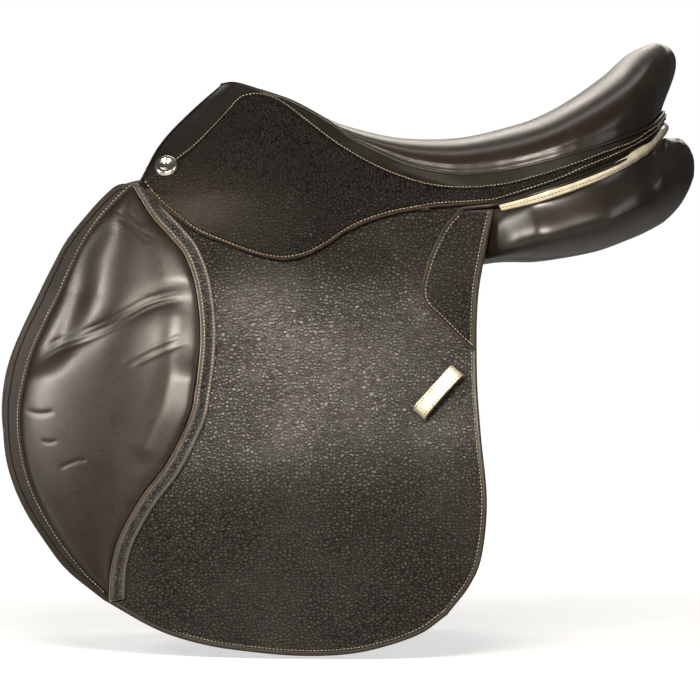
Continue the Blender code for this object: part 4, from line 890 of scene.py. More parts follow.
def stitch_group():
    """Geometry nodes that lay one stitch after another along the edges of a mesh of lines."""
    found = bpy.data.node_groups.get("stitch_row")
    if found:
        return found
    group = bpy.data.node_groups.new("stitch_row", "GeometryNodeTree")
    group.is_modifier = True
    group.interface.new_socket("Geometry", in_out="INPUT", socket_type="NodeSocketGeometry")
    for label, value in (("Pitch", 0.0031), ("Stitch Length", 0.0025), ("Thread Width", 0.00085),
                         ("Slant", 0.12)):
        group.interface.new_socket(label, in_out="INPUT", socket_type="NodeSocketFloat").default_value = value
    group.interface.new_socket("Thread", in_out="INPUT", socket_type="NodeSocketMaterial")
    group.interface.new_socket("Geometry", in_out="OUTPUT", socket_type="NodeSocketGeometry")
    add = NodeMaker(group)
    given, result = add("NodeGroupInput"), add("NodeGroupOutput")
    curve = add("GeometryNodeMeshToCurve", {"Mesh": given.outputs["Geometry"]}).outputs[0]
    spaced = add("GeometryNodeResampleCurve", {"Curve": curve, "Length": given.outputs["Pitch"]},
                 mode="LENGTH").outputs[0]
    ball = add("GeometryNodeMeshUVSphere", {"Segments": 6, "Rings": 4, "Radius": 0.5}).outputs[0]
    tangent = add("GeometryNodeInputTangent").outputs[0]
    upright = add("GeometryNodeInputNamedAttribute", {"Name": "upright"}, data_type="FLOAT_VECTOR").outputs[0]
    along = add("FunctionNodeAlignRotationToVector", {"Vector": tangent}, axis="X").outputs[0]
    lying = add("FunctionNodeAlignRotationToVector", {"Rotation": along, "Vector": upright},
                axis="Z", pivot_axis="X").outputs[0]
    angles = add("ShaderNodeCombineXYZ", {"Z": given.outputs["Slant"]}).outputs[0]
    turn = add("FunctionNodeEulerToRotation", {0: angles}).outputs[0]
    turned = add("FunctionNodeRotateRotation", {0: lying, 1: turn}, rotation_space="LOCAL").outputs[0]
    size = add("ShaderNodeCombineXYZ", {0: given.outputs["Stitch Length"], 1: given.outputs["Thread Width"],
                                        2: given.outputs["Thread Width"]}).outputs[0]
    placed = add("GeometryNodeInstanceOnPoints", {"Points": spaced, "Instance": ball, "Rotation": turned,
                                                  "Scale": size}).outputs[0]
    real = add("GeometryNodeRealizeInstances", {"Geometry": placed}).outputs[0]
    dyed = add("GeometryNodeSetMaterial", {"Geometry": real, "Material": given.outputs["Thread"]}).outputs[0]
    smooth = add("GeometryNodeSetShadeSmooth", {"Geometry": dyed}).outputs[0]
    add.tree.links.new(smooth, result.inputs["Geometry"])
    return group


def stitches(name, rows, finish="pale_thread", sign=1, slant=0.12):
    """Stitches along rows of (places, normals), as one plain mesh object."""
    sizes = bpy.context.scene.saddle_sizes
    flip = np.array((1, sign, 1))
    points, edges, upright = [], [], []
    for places, normals in rows:
        first = len(points)
        points += (places * flip).tolist()
        upright += (normals * flip).tolist()
        edges += [(first + k, first + k + 1) for k in range(len(places) - 1)]
    lines = bpy.data.meshes.new(f"{name}_lines")
    lines.from_pydata(points, edges, [])
    layer = lines.attributes.new("upright", "FLOAT_VECTOR", "POINT")
    layer.data.foreach_set("vector", np.array(upright).ravel())
    row = new_object(f"{name}_lines", lines, None)
    modifier = row.modifiers.new("Stitches", "NODES")
    modifier.node_group = stitch_group()
    values = {"Pitch": sizes.stitch_pitch, "Stitch Length": sizes.stitch_length,
              "Thread Width": sizes.thread_width, "Slant": slant * sign, "Thread": finish_of(finish)}
    for item in modifier.node_group.interface.items_tree:
        if item.item_type == "SOCKET" and item.in_out == "INPUT" and item.name in values:
            modifier[item.identifier] = values[item.name]
    made = bpy.data.meshes.new_from_object(row.evaluated_get(bpy.context.evaluated_depsgraph_get()))
    bpy.data.objects.remove(row)
    made.name = name
    return new_object(name, made, None)


def beside(tree, line, distance, height=0.0001):
    """A stitch row on a surface, at a distance to the right of a line on it, seen from outside."""
    places, normals = laid_on(tree, line)
    across = np.cross(normals, unit(np.gradient(places, axis=0), 1e-9))
    moved, upright = [], []
    for point in places + across * distance:
        hit, normal, _, _ = tree.find_nearest(Vector(point))
        if normal.y < 0:
            normal = -normal
        moved.append(np.array(hit + normal * height))
        upright.append(np.array(normal))
    return np.array(moved), np.array(upright)


def row_on(tree, line, height=0.0001):
    """A stitch row's places and normals: the line brought to a surface, in steps of about 2 mm."""
    return laid_on(tree, even_line(line, 0.002), height)


# Seat

SEAT_STATIONS, SEAT_ROWS = 221, 65
FOLDED_STATIONS = 14


def domed_half(columns, rows):
    """The right half of the seat's surface: a grid [station, column] from the middle line to the edge."""
    places = np.linspace(0, len(SEAT_EDGE) - 1, columns)
    edge, crest = rail(SEAT_EDGE, places), rail(SEAT_CREST, places)
    edge[[0, -1], 1] = 0.0
    front, rear = np.argmin(crest[:, 0]), np.argmax(crest[:, 0])
    crest[:front], crest[rear:] = crest[front], crest[rear]
    angle = np.linspace(0, math.pi / 2, rows)[None, :, None]
    across = np.sin(angle) ** (2 / 2.5)
    down = 1 - np.clip(np.cos(angle), 0, 1) ** (2 / 2.5)
    share = np.concatenate([np.repeat(across, 2, axis=2), down], axis=2)
    station = np.linspace(0, 1, columns)[:, None, None]
    swell = 0.015 * np.clip((station - 0.6) / 0.4, 0, 1) ** 2 * np.sin(2 * angle)
    return crest[:, None] + (edge - crest)[:, None] * share + plan_normals(edge)[:, None] * swell


def build_seat():
    """The stuffed seat: its cover, dimpled along the edge where it is pulled down, and the cord round it.
    Near pommel and cantle its grid runs together, so the normals there take their side from the next ones."""
    half = domed_half(SEAT_STATIONS, SEAT_ROWS)
    grid = np.concatenate([(half * np.array((1, -1, 1)))[:, :0:-1], half], axis=1).transpose(1, 0, 2)
    normals = grid_normals(grid)
    middle, last = len(grid) // 2, FOLDED_STATIONS
    normals *= np.sign(normals[middle, SEAT_STATIONS // 2, 2])
    normals[:, 0], normals[:, -1] = normals[:, 2], normals[:, -3]
    for end, near in ((slice(0, last), normals[:, last:last + 1]),
                      (slice(-last, None), normals[:, -last - 1:-last])):
        normals[middle, end] = near[middle]
        agree = np.sum(normals[:, end] * near, axis=-1, keepdims=True)
        normals[:, end] *= np.where(agree < 0, -1, 1)
    across = np.abs(np.linspace(-1, 1, grid.shape[0]))[:, None]
    along = np.linspace(0, 1, grid.shape[1])[None, :]
    pulled = smooth_step(across, 0.72, 1.0)
    inside = smooth_step(along, 0.0, 0.04) * smooth_step(1 - along, 0.0, 0.05)
    swell = 0.0003 * np.sin(along * 33 + 3 * across) * np.sin(along * 13) * (1 - across**4)
    pucker = -0.0003 * pulled * (0.5 + 0.5 * np.sin(along * 190)) * smooth_step(along, 0.05, 0.2)
    tuck = -0.0006 * ridge(across - 0.93, 0.03)
    face = grid + normals * ((swell + pucker + tuck) * inside)[..., None]
    leather_depth = bpy.context.scene.saddle_sizes.seat_leather
    # Lighter and browner towards the top of the seat: partly wear and partly a painted highlight.
    wear_and_sheen = smooth_step(grid[..., 2] - grid[middle, :, 2][None], -0.05, 0.0) * 0.5
    seat = shell("seat", face, grid - normals * leather_depth, finish_of("seat_hide"), {"wear_and_sheen": wear_and_sheen}, 60)
    edge = rail(SEAT_EDGE, np.linspace(0, len(SEAT_EDGE) - 1, 260))
    edge[[0, -1], 1] = 0.0
    cord_line = edge + plan_normals(edge) * 0.0021 + np.array((0, 0, 0.0012))
    cords = [tube(f"seat_cord_{side}", cord_line, 0.0017, finish_of("seat_hide"), sign,
                  normals=np.tile((0, 0, 1.0), (len(edge), 1))) for side, sign in SIDES]
    cover = joined("seat_cover_visual", [seat] + cords)
    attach(cover, "saddle")
    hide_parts("seat_cover")


# Skirts

FOLD_END = mm(8)
SKIRT_HEIGHT = mm(5.9)
UPPER_ROWS = 62


def skirt_rails(places):
    """Four lines along the skirt, from the seat down to the hinge and on along the cantle's strip."""
    seat = SEAT_EDGE + plan_normals(SEAT_EDGE) * mm(4.3)
    seat[0] = mm((-112.5, 1.0, 487.6))
    seat[-1, 1] = mm(0.8)
    hinge = np.stack([SKIRT_HINGE_X, hinge_y(SKIRT_HINGE_X) + SKIRT_MIDDLE, hinge_z(SKIRT_HINGE_X)], axis=1)
    lower = np.concatenate([hinge, CANTLE_STRIP_EDGE])
    upper_band = np.concatenate([SKIRT_UPPER_BAND, (2 * seat[9:] + lower[9:]) / 3])
    lower_band = np.concatenate([SKIRT_LOWER_BAND, (seat[9:] + 2 * lower[9:]) / 3])
    return [rail(line, places) for line in (seat, upper_band, lower_band, lower)]


def even_places(count, first, last):
    """Places along the skirt's lines, evenly far apart, with fine steps at the front edge."""
    fine = np.linspace(first, last, 1500)
    lines = skirt_rails(fine)
    middle = (lines[1] + lines[3]) / 2
    along = np.concatenate([[0], np.cumsum(np.linalg.norm(np.diff(middle, axis=0), axis=1))])
    shares = clustered(along[-1], count, near_end=False)
    return np.interp(shares * along[-1], along, fine)


def below_hinge(points):
    """How far points lie under the hinge line, square to it."""
    return (points - HINGE_FRONT) @ HINGE_DOWN


def skirt_grid(columns=236, upper_rows=UPPER_ROWS, lower_rows=34):
    """The whole skirt of the right side as one grid, the row where its free part starts and the columns
    that the free part has."""
    lines = np.stack(skirt_rails(even_places(columns, 0, 15)))
    upper = rail(lines, np.linspace(0, 3, upper_rows))
    x, z = lines[3][:, 0], lines[3][:, 2]
    outline = even_rail(SKIRT_EDGE, np.linspace(0, 1, 600))
    order = np.argsort(outline[:, 0])
    edge = np.minimum(np.interp(x, outline[order, 0], outline[order, 1]), z)
    free = (x < SKIRT_EDGE[-1, 0]) & (np.arange(len(x)) < np.argmax(x >= SKIRT_EDGE[-1, 0]))
    edge = np.where(free, edge, z)
    turn = np.maximum(edge, z - FOLD_END)
    bend = z + (turn - z) * np.linspace(0, 1, 7)[1:, None]
    rest = turn + (edge - turn) * (1 - (1 - np.linspace(0, 1, lower_rows)[1:, None]) ** 1.4)
    low_z = np.concatenate([bend, rest])
    low_x = np.broadcast_to(x, low_z.shape)
    low = np.stack([low_x, flap_face(low_x, low_z) + SKIRT_HEIGHT, low_z], axis=-1)
    low[:, ~free] = lines[3][~free]
    grid = np.concatenate([upper, low])
    loose = ridge(below_hinge(grid), 0.016)[1:-1] * free[None, :]
    for _ in range(90):
        settled = (grid[:-2, :, 1] + grid[2:, :, 1]) / 2 - grid[1:-1, :, 1]
        grid[1:-1, :, 1] += 0.9 * loose * settled
    return grid, upper_rows + 5, np.nonzero(edge < turn - 0.00005)[0]


def fold_of(obj):
    """Bakes an object's placement into its mesh."""
    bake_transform(obj)


def parts_of(places, normals, keep):
    """The runs of a stitch row for which keep is true, as rows of their own."""
    rows, start = [], None
    for k in range(len(places) + 1):
        inside = k < len(places) and keep[k]
        if inside and start is None:
            start = k
        if not inside and start is not None:
            if k - start > 1:
                rows.append((places[start:k], normals[start:k]))
            start = None
    return rows


def build_skirts():
    """Each skirt in two meshes that meet where the fold ends, its seam and its edge stitching."""
    grid, turn, free = skirt_grid()
    tree = surface_of(grid)
    seam, _ = laid_on(tree, even_line(SKIRT_SEAM, 0.0015))
    gap, which = nearest(grid, seam)
    signed = np.clip(gap * side_of(grid, seam, which) / EDGE_REACH, -1, 1)
    rim_line = np.concatenate([grid[:UPPER_ROWS, 0], grid[-1]])
    away = nearest(grid, even_rail(rim_line, np.linspace(0, 1, 1400)))[0]
    normals = grid_normals(grid)
    x, z = grid[..., 0], grid[..., 2]
    wear_and_sheen = ridge(np.hypot((x + 0.128) / 0.045, (z - 0.377) / 0.03), 1.0) * (signed < 0)
    bead = 0.0008 * ridge(away - 0.0015, 0.0011) - 0.0004 * ridge(away - 0.0033, 0.0007)
    strip = 0.0008 * smooth_step(signed, 0.0, 0.12) * smooth_step(away, 0.0, 0.003)
    fullness = 0.0009 * np.sin(x * 55 + z * 30) * smooth_step(away, 0.004, 0.03)
    drop = 0.0011 * near_rim(away, 0.0011) ** 2
    face = grid + normals * (bead + strip + fullness - drop)[..., None]
    thickness = bpy.context.scene.saddle_sizes.skirt_leather
    back = grid - normals * (thickness - drop)[..., None]
    near = near_rim(away)
    face_tree = surface_of(face)
    build_pommel(face[:UPPER_ROWS, 0])
    seam_row = beside(face_tree, even_line(SKIRT_SEAM, 0.002), -0.0013)
    front = on_flap(even_line(SKIRT_EDGE, 0.002), SKIRT_HEIGHT)
    rear = CANTLE_STRIP_EDGE[1:] + mm([(0, 0, up) for up in (1.6, 3.6, 4.2, 3.4, 2.0, 1.0)])
    rim = even_line(np.concatenate([front[1::4], rear]), 0.002)[1:-2]
    row, _ = beside(face_tree, rim, -0.0036)
    for _ in range(24):
        row[1:-1] = (row[:-2] + 2 * row[1:-1] + row[2:]) / 4
    edge_row = laid_on(face_tree, row, 0.0001)
    depth = below_hinge(edge_row[0])
    fixed_rows = [seam_row] + parts_of(*edge_row, depth <= FOLD_END)
    free_rows = parts_of(*edge_row, depth > FOLD_END)
    low = slice(max(free[0] - 1, 0), free[-1] + 2)
    for side, sign in SIDES:
        flip = np.array((1, sign, 1))
        facts = {"near_edge": near, "seam": signed, "wear_and_sheen": wear_and_sheen}
        top = shell(f"skirt_top_{side}_visual", (face * flip)[:turn + 1], (back * flip)[:turn + 1],
                    finish_of("skirt_hide"), {key: v[:turn + 1] for key, v in facts.items()})
        rest = shell(f"skirt_{side}_visual", (face * flip)[turn:, low], (back * flip)[turn:, low],
                     finish_of("skirt_hide"), {key: v[turn:, low] for key, v in facts.items()})
        top_rows = stitches(f"skirt_top_{side}_stitches", fixed_rows, sign=sign)
        low_rows = stitches(f"skirt_{side}_stitches", free_rows, sign=sign)
        for obj, node in ((top, f"skirt_top_{side}"), (top_rows, None)):
            fold_of(obj)
            if node:
                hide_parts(node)
        for obj, node in ((rest, f"skirt_{side}"), (low_rows, None)):
            fold_of(obj)
            if node:
                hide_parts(node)


def build_pommel(front_edge):
    """The leather that closes the pommel: a cover round the head arch, a facing from it to the skirts."""
    half = even_rail(ARCH_PATH, np.linspace(0, 1, 60))
    path = np.concatenate([half[:0:-1] * np.array((1, -1, 1)), half])
    outwards = unit(np.cross((1.0, 0, 0), np.gradient(path, axis=0)))
    around = 32
    angles = whole_turn(around)
    across = -mm(19.5) * np.sign(np.cos(angles)) * np.abs(np.cos(angles)) ** 0.45
    up = mm(8.8) * np.sign(np.sin(angles)) * np.abs(np.sin(angles)) ** 0.45
    up = np.where(up > 0, up * 0.9 - mm(2.2) * smooth_step(-across, mm(11), mm(19.5)), up)
    points = (path[:, None] + across[None, :, None] * np.array((1.0, 0, 0))
              + up[None, :, None] * outwards[:, None])
    mesh = mesh_from("pommel_cover", points.reshape(-1, 3),
                     grid_faces(len(path), around, loop=True) + end_caps(len(path), around))
    close_up(mesh)
    shade_smooth(mesh, 60)
    cover = new_object("pommel_cover", mesh, finish_of("pad_hide"))
    arch = (half + outwards[59:] * mm(5))[:46] - mm((18.5, 0, 0))
    arch[0, 1] = 0.0
    edge = even_rail(front_edge + mm((1.4, -0.8, -0.6)), np.linspace(0, 1, 46))
    share = np.linspace(0, 1, 16)[:, None, None]
    face = edge * (1 - share) + arch * share + np.array((-1.0, 0, 0)) * mm(3) * np.sin(math.pi * share)
    face = np.concatenate([(face * np.array((1, -1, 1)))[:, :0:-1], face], axis=1)
    facing = shell("pommel_facing", face, face + mm((1.3, 0, 0)), finish_of("pad_hide"))
    whole = joined("pommel_leather", [cover, facing])
    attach(whole, "saddle")


# Flaps

BAND_WIDTH = mm(12.5)
BAND_HEIGHT = mm(1.0)
EDGE_ROW = 0.0037


def flap_grid(columns, rows):
    """The flap's outline filled with points, at the depth of its smooth backing."""
    lines = [even_line(line, 0.004) for line in (FLAP_TOP, FLAP_BOTTOM, FLAP_FRONT, FLAP_REAR)]
    return on_flap(coons_patch(*lines, clustered(0.30, columns), clustered(0.37, rows)), -FLAP_DEPTH)


FACING_LINE = np.concatenate([FACING_FRONT, mm([(-200.4, 44.4)])])
FACING_BOTTOM = mm([
    (-200.4, 44.4), (-161, 23.3), (-120.7, 11.4), (-80, 5.9), (-41.4, 3.3), (-5, 4.7),
    (24.8, 10.4), (57.9, 22.0), (79.9, 37.6),
])


def flap_swell(x, z):
    """Gentle hollows and swells of a hanging flap, as a height over its face."""
    return 0.0011 * np.sin(x * 19 + 1.0) * np.sin(z * 14 + 0.4) + 0.0004 * np.sin(x * 47 + z * 31)


def build_flaps():
    """Backing and grained facing of each flap, the strip that binds the facing's front and its piping."""
    backing = flap_grid(118, 118)
    rear_line = offset_line(even_line(FLAP_REAR, 0.004), 0.0006)
    facing_top = np.stack([FACING_LINE[0], (FACING_LINE[0] * 0.5 + rear_line[0] * 0.5), rear_line[0]])
    facing = on_flap(coons_patch(facing_top, FACING_BOTTOM, FACING_LINE, rear_line,
                                 clustered(0.24, 110), clustered(0.36, 130)), 0.0)
    away = rim_distance(facing)
    shape = flap_swell(facing[..., 0], facing[..., 2])
    bead = 0.00035 * ridge(away - 0.0014, 0.001) - 0.0003 * ridge(away - 0.0031, 0.0008)
    height = facing[..., 2]
    # A lighter, smoother band across the middle of the flap, where the calf rubs: partly wear and partly
    # painted sheen.
    wear_and_sheen = (smooth_step(height, 0.10, 0.20) * smooth_step(-height, -0.345, -0.285)
            * (1 - 0.35 * smooth_step(facing[..., 0], -0.08, 0.10)))
    front = even_line(FACING_LINE, 0.0015)
    band = between(offset_line(front, -0.0006), offset_line(front, -BAND_WIDTH), clustered(BAND_WIDTH, 12),
                   np.linspace(0.004, 0.997, 230))
    band = on_flap(band, BAND_HEIGHT)
    band_swell = flap_swell(band[..., 0], band[..., 2]) * 0.5
    tree = surface_of(facing + outward(shape))
    band_tree = surface_of(band + outward(band_swell))
    rows = [row_on(tree, on_flap(line)) for line in (
        offset_line(rear_line, EDGE_ROW), offset_line(even_line(FACING_BOTTOM, 0.003), -EDGE_ROW))]
    rows += [row_on(band_tree, on_flap(offset_line(front, -inside)[6:-4]), 0.0007)
             for inside in (0.0026, BAND_WIDTH - 0.0018)]
    pad_border = offset_line(even_line(PAD_FRONT, 0.002), 0.0024)
    rows.append(row_on(surface_of(backing), on_flap(pad_border, -FLAP_DEPTH)))
    piping = (on_flap(offset_line(front, 0.0002), 0.0011)
              + outward(flap_swell(front[:, 0], front[:, 1]) * 0.5))
    thickness = bpy.context.scene.saddle_sizes.flap_leather
    back_away, band_away = rim_distance(backing), rim_distance(band)
    lift = shape * smooth_step(away, 0, 0.03) * 0.5 + bead
    for side, sign in SIDES:
        back = leather_sheet(f"flap_back_{side}", sign, backing, thickness, finish_of("flap_back_hide"),
                             back_away)
        binding = leather_sheet(f"flap_band_{side}", sign, band, 0.0012, finish_of("band_hide"), band_away,
                                band_swell, 0.0009)
        cord = tube(f"flap_piping_{side}", piping, 0.0009, finish_of("edge_hide"), sign)
        thread_rows = stitches(f"flap_stitches_{side}", rows, sign=sign)
        front_sheet = leather_sheet(f"flap_facing_{side}_visual", sign, facing, 0.0020,
                                    finish_of("flap_hide"), away, lift, values={"wear_and_sheen": wear_and_sheen})
        for obj, node in ((back, f"flap_{side}"), (front_sheet, f"flap_facing_{side}"), (binding, None),
                          (cord, None), (thread_rows, None)):
            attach(obj, f"flap_{side}")
            if node:
                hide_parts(node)


# Knee pads

PAD_REAR = offset_line(even_line(FACING_FRONT, 0.004), 0.0012)
MAIN_CREASE = mm([
    (-269, 246), (-249.6, 259), (-225, 268), (-200, 279), (-175, 293), (-156, 299.7), (-137, 303),
])
PAD_VALLEY = mm([
    (-214, 362), (-227, 338), (-231, 310), (-238, 285), (-246, 266), (-254, 242), (-258, 214),
    (-257, 190), (-249, 160), (-239, 130), (-226, 100),
])
REAR_SWELL = mm([(-147, 284), (-148, 264), (-151, 235), (-158, 205), (-172, 175)])
MAIN_CREASE_FOLDS = ((0.0, 0.0005, 0.0021), (0.0046, 0.0004, 0.0019), (-0.0048, 0.0003, 0.0019))
SMALL_CREASES = [
    (mm([(-200, 240), (-193.4, 243.4), (-174.7, 254.5), (-155.9, 263), (-133.8, 270.7)]), 0.0003, 0.0026),
    (mm([(-277, 206), (-268, 203), (-258, 202.5), (-249, 205)]), 0.0004, 0.0022),
    (mm([(-206.2, 377.2), (-193.4, 371.2), (-181.5, 359.3), (-162.7, 349.9)]), 0.0002, 0.0024),
    (mm([(-202, 371), (-190, 364), (-180, 354), (-168, 346)]), 0.0002, 0.0022),
    (mm([(-196, 377), (-186, 371), (-176, 361)]), 0.0002, 0.0022),
    (mm([(-188, 240), (-170, 249), (-152, 257), (-134, 264)]), 0.0003, 0.0024),
    (mm([(-246, 156), (-232, 162), (-220, 164)]), 0.0003, 0.0018),
    (mm([(-262, 180), (-254, 178), (-246, 180)]), 0.0003, 0.0016),
]
PAD_STAND_OFF = 0.0004
HOLLOW_ENDS_AT = 0.264
REAR_RISES_AT = 0.285


def crease(points, line, depth, width):
    """How deep a crease is at (x, z) points, and how dark; it fades out towards its ends."""
    fine = even_line(line, 0.001)
    gap, which = nearest(points, fine)
    along = which / (len(fine) - 1)
    fade = smooth_step(along, 0.0, 0.22) * smooth_step(1 - along, 0.0, 0.22)
    # How deep a crease is at (x, z) points, and how much painted shade darkens it; it fades out towards its
    # ends.
    return depth * fade * ridge(gap, width), ridge(gap, width * 0.5) * fade


def build_knee_pads():
    """The stuffed front of each flap: a roll along its edge, a hollow behind it and creases pressed in by
    use, darkened by painted shade.
    """
    across, down = clustered(0.10, 108), clustered(0.35, 240)
    plane = between(PAD_FRONT, PAD_REAR, across, down)
    u, v = across[None, :], down[:, None]
    height = bpy.context.scene.saddle_sizes.pad_height
    under_crease = smooth_step(HOLLOW_ENDS_AT - plane[..., 1], 0.0, 0.035)
    upper_rear = smooth_step(plane[..., 1] - REAR_RISES_AT, 0.0, 0.035) * smooth_step(u - 0.55, 0.0, 0.25)
    fullness = 0.62 - 0.40 * under_crease - 0.34 * upper_rear
    rise = height * np.sin(math.pi * u) ** fullness * np.sin(math.pi * v) ** 0.45
    valley = nearest(plane, even_line(PAD_VALLEY, 0.002))[0]
    length = smooth_step(v, 0.03, 0.2) * smooth_step(1 - v, 0.05, 0.3) * (1 - under_crease)
    rise = rise - 0.0030 * ridge(valley, 0.0105) * length * np.sin(math.pi * u) ** 0.5
    creased = np.zeros(rise.shape)
    main_crease = even_line(MAIN_CREASE, 0.004)
    folds = [(offset_line(main_crease, shift), depth, width) for shift, depth, width in MAIN_CREASE_FOLDS]
    for line, depth, width in folds + SMALL_CREASES:
        cut, dark = crease(plane, line, depth, width)
        rise, creased = rise - cut, np.maximum(creased, dark * min(1, depth / 0.0012))
    x, z = plane[..., 0], plane[..., 1]
    lumps = (0.0016 * ridge(np.hypot((x + 0.208) / 0.026, (z - 0.300) / 0.034), 1.0)
             + 0.0011 * ridge(nearest(plane, even_line(REAR_SWELL, 0.002))[0], 0.009)
             - 0.0012 * ridge(nearest(plane, even_line(MAIN_CREASE, 0.002))[0], 0.010))
    rise = rise + lumps * np.clip(rise / 0.008, 0, 1)
    outer, inner = on_flap(plane, PAD_STAND_OFF) + outward(np.maximum(rise, 0.0)), on_flap(plane, -0.0013)
    for side, sign in SIDES:
        flip = np.array((1, sign, 1))
        # Painted shade darkens the creases, and the crowns are lighter, partly wear and partly painted sheen.
        pad = shell(f"knee_pad_{side}_visual", outer * flip, inner * flip, finish_of("pad_hide"),
                    {"crease": creased * 0.25, "wear_and_sheen": np.clip(rise / height, 0, 1) * 0.5}, 60)
        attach(pad, f"flap_{side}")
        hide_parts(f"knee_pad_{side}")


# Corner patches and keepers

PATCH_REAR = mm([(121, 375), (113.6, 344), (107.2, 310), (105.4, 285), (104.6, 256.2)])
PATCH_HEIGHT = mm(1.5)
KEEPER_CENTRE = mm((74.5, 220.4))


def build_corner_patches():
    """The grained patch behind each skirt, with its rolled front edge and a stitch row along two sides."""
    across, down = clustered(0.042, 26), clustered(0.13, 80)
    face = on_flap(between(PATCH_FRONT, PATCH_REAR, across, down), PATCH_HEIGHT)
    away, front = rim_distance(face), rim_distance(face, "f")
    lift = 0.0008 * ridge(front - 0.0013, 0.0012) - 0.0004 * ridge(front - 0.0027, 0.0008)
    lines = (offset_line(even_line(PATCH_FRONT, 0.002), -0.0039)[3:-2],
             offset_line(even_line(PATCH_REAR, 0.002), 0.0036)[2:-3])
    rows = [row_on(surface_of(face), on_flap(line, PATCH_HEIGHT)) for line in lines]
    for side, sign in SIDES:
        patch = leather_sheet(f"corner_patch_{side}_visual", sign, face, 0.0012, finish_of("flap_hide"),
                              away, lift)
        thread_rows = stitches(f"corner_patch_stitches_{side}", rows, sign=sign)
        for obj in (patch, thread_rows):
            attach(obj, f"flap_{side}")
        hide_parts(f"corner_patch_{side}")


def bend(centre, radius, start, end, steps):
    """Points along an arc, with its angles in degrees."""
    angles = np.radians(np.linspace(start, end, steps))
    return np.stack([centre[0] + radius * np.cos(angles), centre[1] + radius * np.sin(angles)], axis=1)


def build_keepers():
    """A bowed loop of pale patent leather: its ends go down through slits in the flap."""
    half, rise, strip, width = mm(24), mm(10.2), mm(2.4), mm(15)
    corner, shoulder = 0.0052, rise - 0.0062
    outer = np.concatenate([
        [(-half - 0.0012, -0.0016)], bend((-half + corner, shoulder), corner, 180, 98, 9),
        [(-0.008, rise - 0.0004), (0, rise), (0.008, rise - 0.0004)],
        bend((half - corner, shoulder), corner, 82, 0, 9), [(half + 0.0012, -0.0016)]])
    outer = even_rail(outer, np.linspace(0, 1, 90))
    run = unit(np.gradient(outer, axis=0))
    inwards = np.stack([run[:, 1], -run[:, 0]], axis=1)
    across = clustered(width, 8)
    away_side = np.minimum(across, 1 - across) * width
    x, z = KEEPER_CENTRE
    slant, step = math.radians(48), mm(5)
    direction = np.array((math.cos(slant), math.sin(slant)))
    ends = on_flap(KEEPER_CENTRE + np.array([[-1.0], [1.0]]) * direction * step)
    along = (ends[1] - ends[0]) / np.linalg.norm(ends[1] - ends[0])
    slope_x = (flap_face(x + step, z) - flap_face(x - step, z)) / (2 * step)
    slope_z = (flap_face(x, z + step) - flap_face(x, z - step)) / (2 * step)
    normal = np.array((-slope_x, 1.0, -slope_z))
    normal -= along * (along @ normal)
    normal /= np.linalg.norm(normal)
    side_way = np.cross(along, normal)
    place = on_flap(KEEPER_CENTRE, 0.0012)

    def grid_at(line, height):
        flat = line[:, None] + inwards[:, None] * height[None, :, None]
        narrow = 1 - 0.07 * np.cos(np.linspace(-1, 1, len(line)) * math.pi / 2)[:, None]
        return (place + along * flat[..., :1] + normal * flat[..., 1:]
                + side_way * ((across[None, :] - 0.5) * width * narrow)[..., None])

    round_off = 0.0009 * near_rim(away_side, 0.0012) ** 2
    face = grid_at(outer, round_off - 0.0002 * ridge(away_side, 0.004))
    back = grid_at(outer, strip - round_off)
    near = np.broadcast_to(near_rim(away_side), face.shape[:2])
    rows = []
    for column in (4, -5):
        line = face[14:-14, column]
        tilt = np.gradient(face[:, column], axis=0)[14:-14]
        upright = np.cross(side_way, tilt)
        upright *= np.sign(upright @ normal)[:, None] / np.linalg.norm(upright, axis=1)[:, None]
        rows.append((line + upright * 0.0001, upright))
    # The slits' openings are near-black flattened cords: painted shadow in the slits.
    slits = []
    for end in (-1, 1):
        middle = place + along * (half + 0.0010) * end - normal * 0.0005
        slits.append(np.array([middle + side_way * s * (width / 2 + 0.0012) for s in np.linspace(-1, 1, 9)]))
    for side, sign in SIDES:
        flip = np.array((1, sign, 1))
        loop = shell(f"leather_keeper_{side}_visual", face * flip, back * flip, finish_of("patent_hide"),
                     {"near_edge": near}, 55)
        thread_rows = stitches(f"leather_keeper_stitches_{side}", rows, "dark_thread", sign)
        dark = [tube(f"keeper_slit_shadow_{side}_{k}", line, 0.0013, finish_of("slit_shadow"), sign, 8, flat=0.5,
                     normals=np.tile(normal, (len(line), 1))) for k, line in enumerate(slits)]
        for obj in [loop, thread_rows] + dark:
            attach(obj, f"flap_{side}")
        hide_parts(f"leather_keeper_{side}")


# Sweat flaps, knee blocks and panels

KNEE_BLOCK_HEIGHT = 0.0158
WELT_ANGLE = 2.2


def sewn_to_panel(top):
    """Rows from the side of the panel down to the sweat flap's top edge, where the two are sewn together."""
    columns = np.array(PANEL_SECTIONS, float).T
    seam = np.array([panel_section([np.interp(x * 1000, columns[0], column) for column in columns],
                                   np.array([-0.5]))[0] for x in top[:, 0]])
    seam = top + (seam - top) * smooth_step(top[:, 0], -0.156, -0.130)[:, None]
    return top + (seam - top) * np.linspace(1, 0, 6, endpoint=False)[:, None, None]


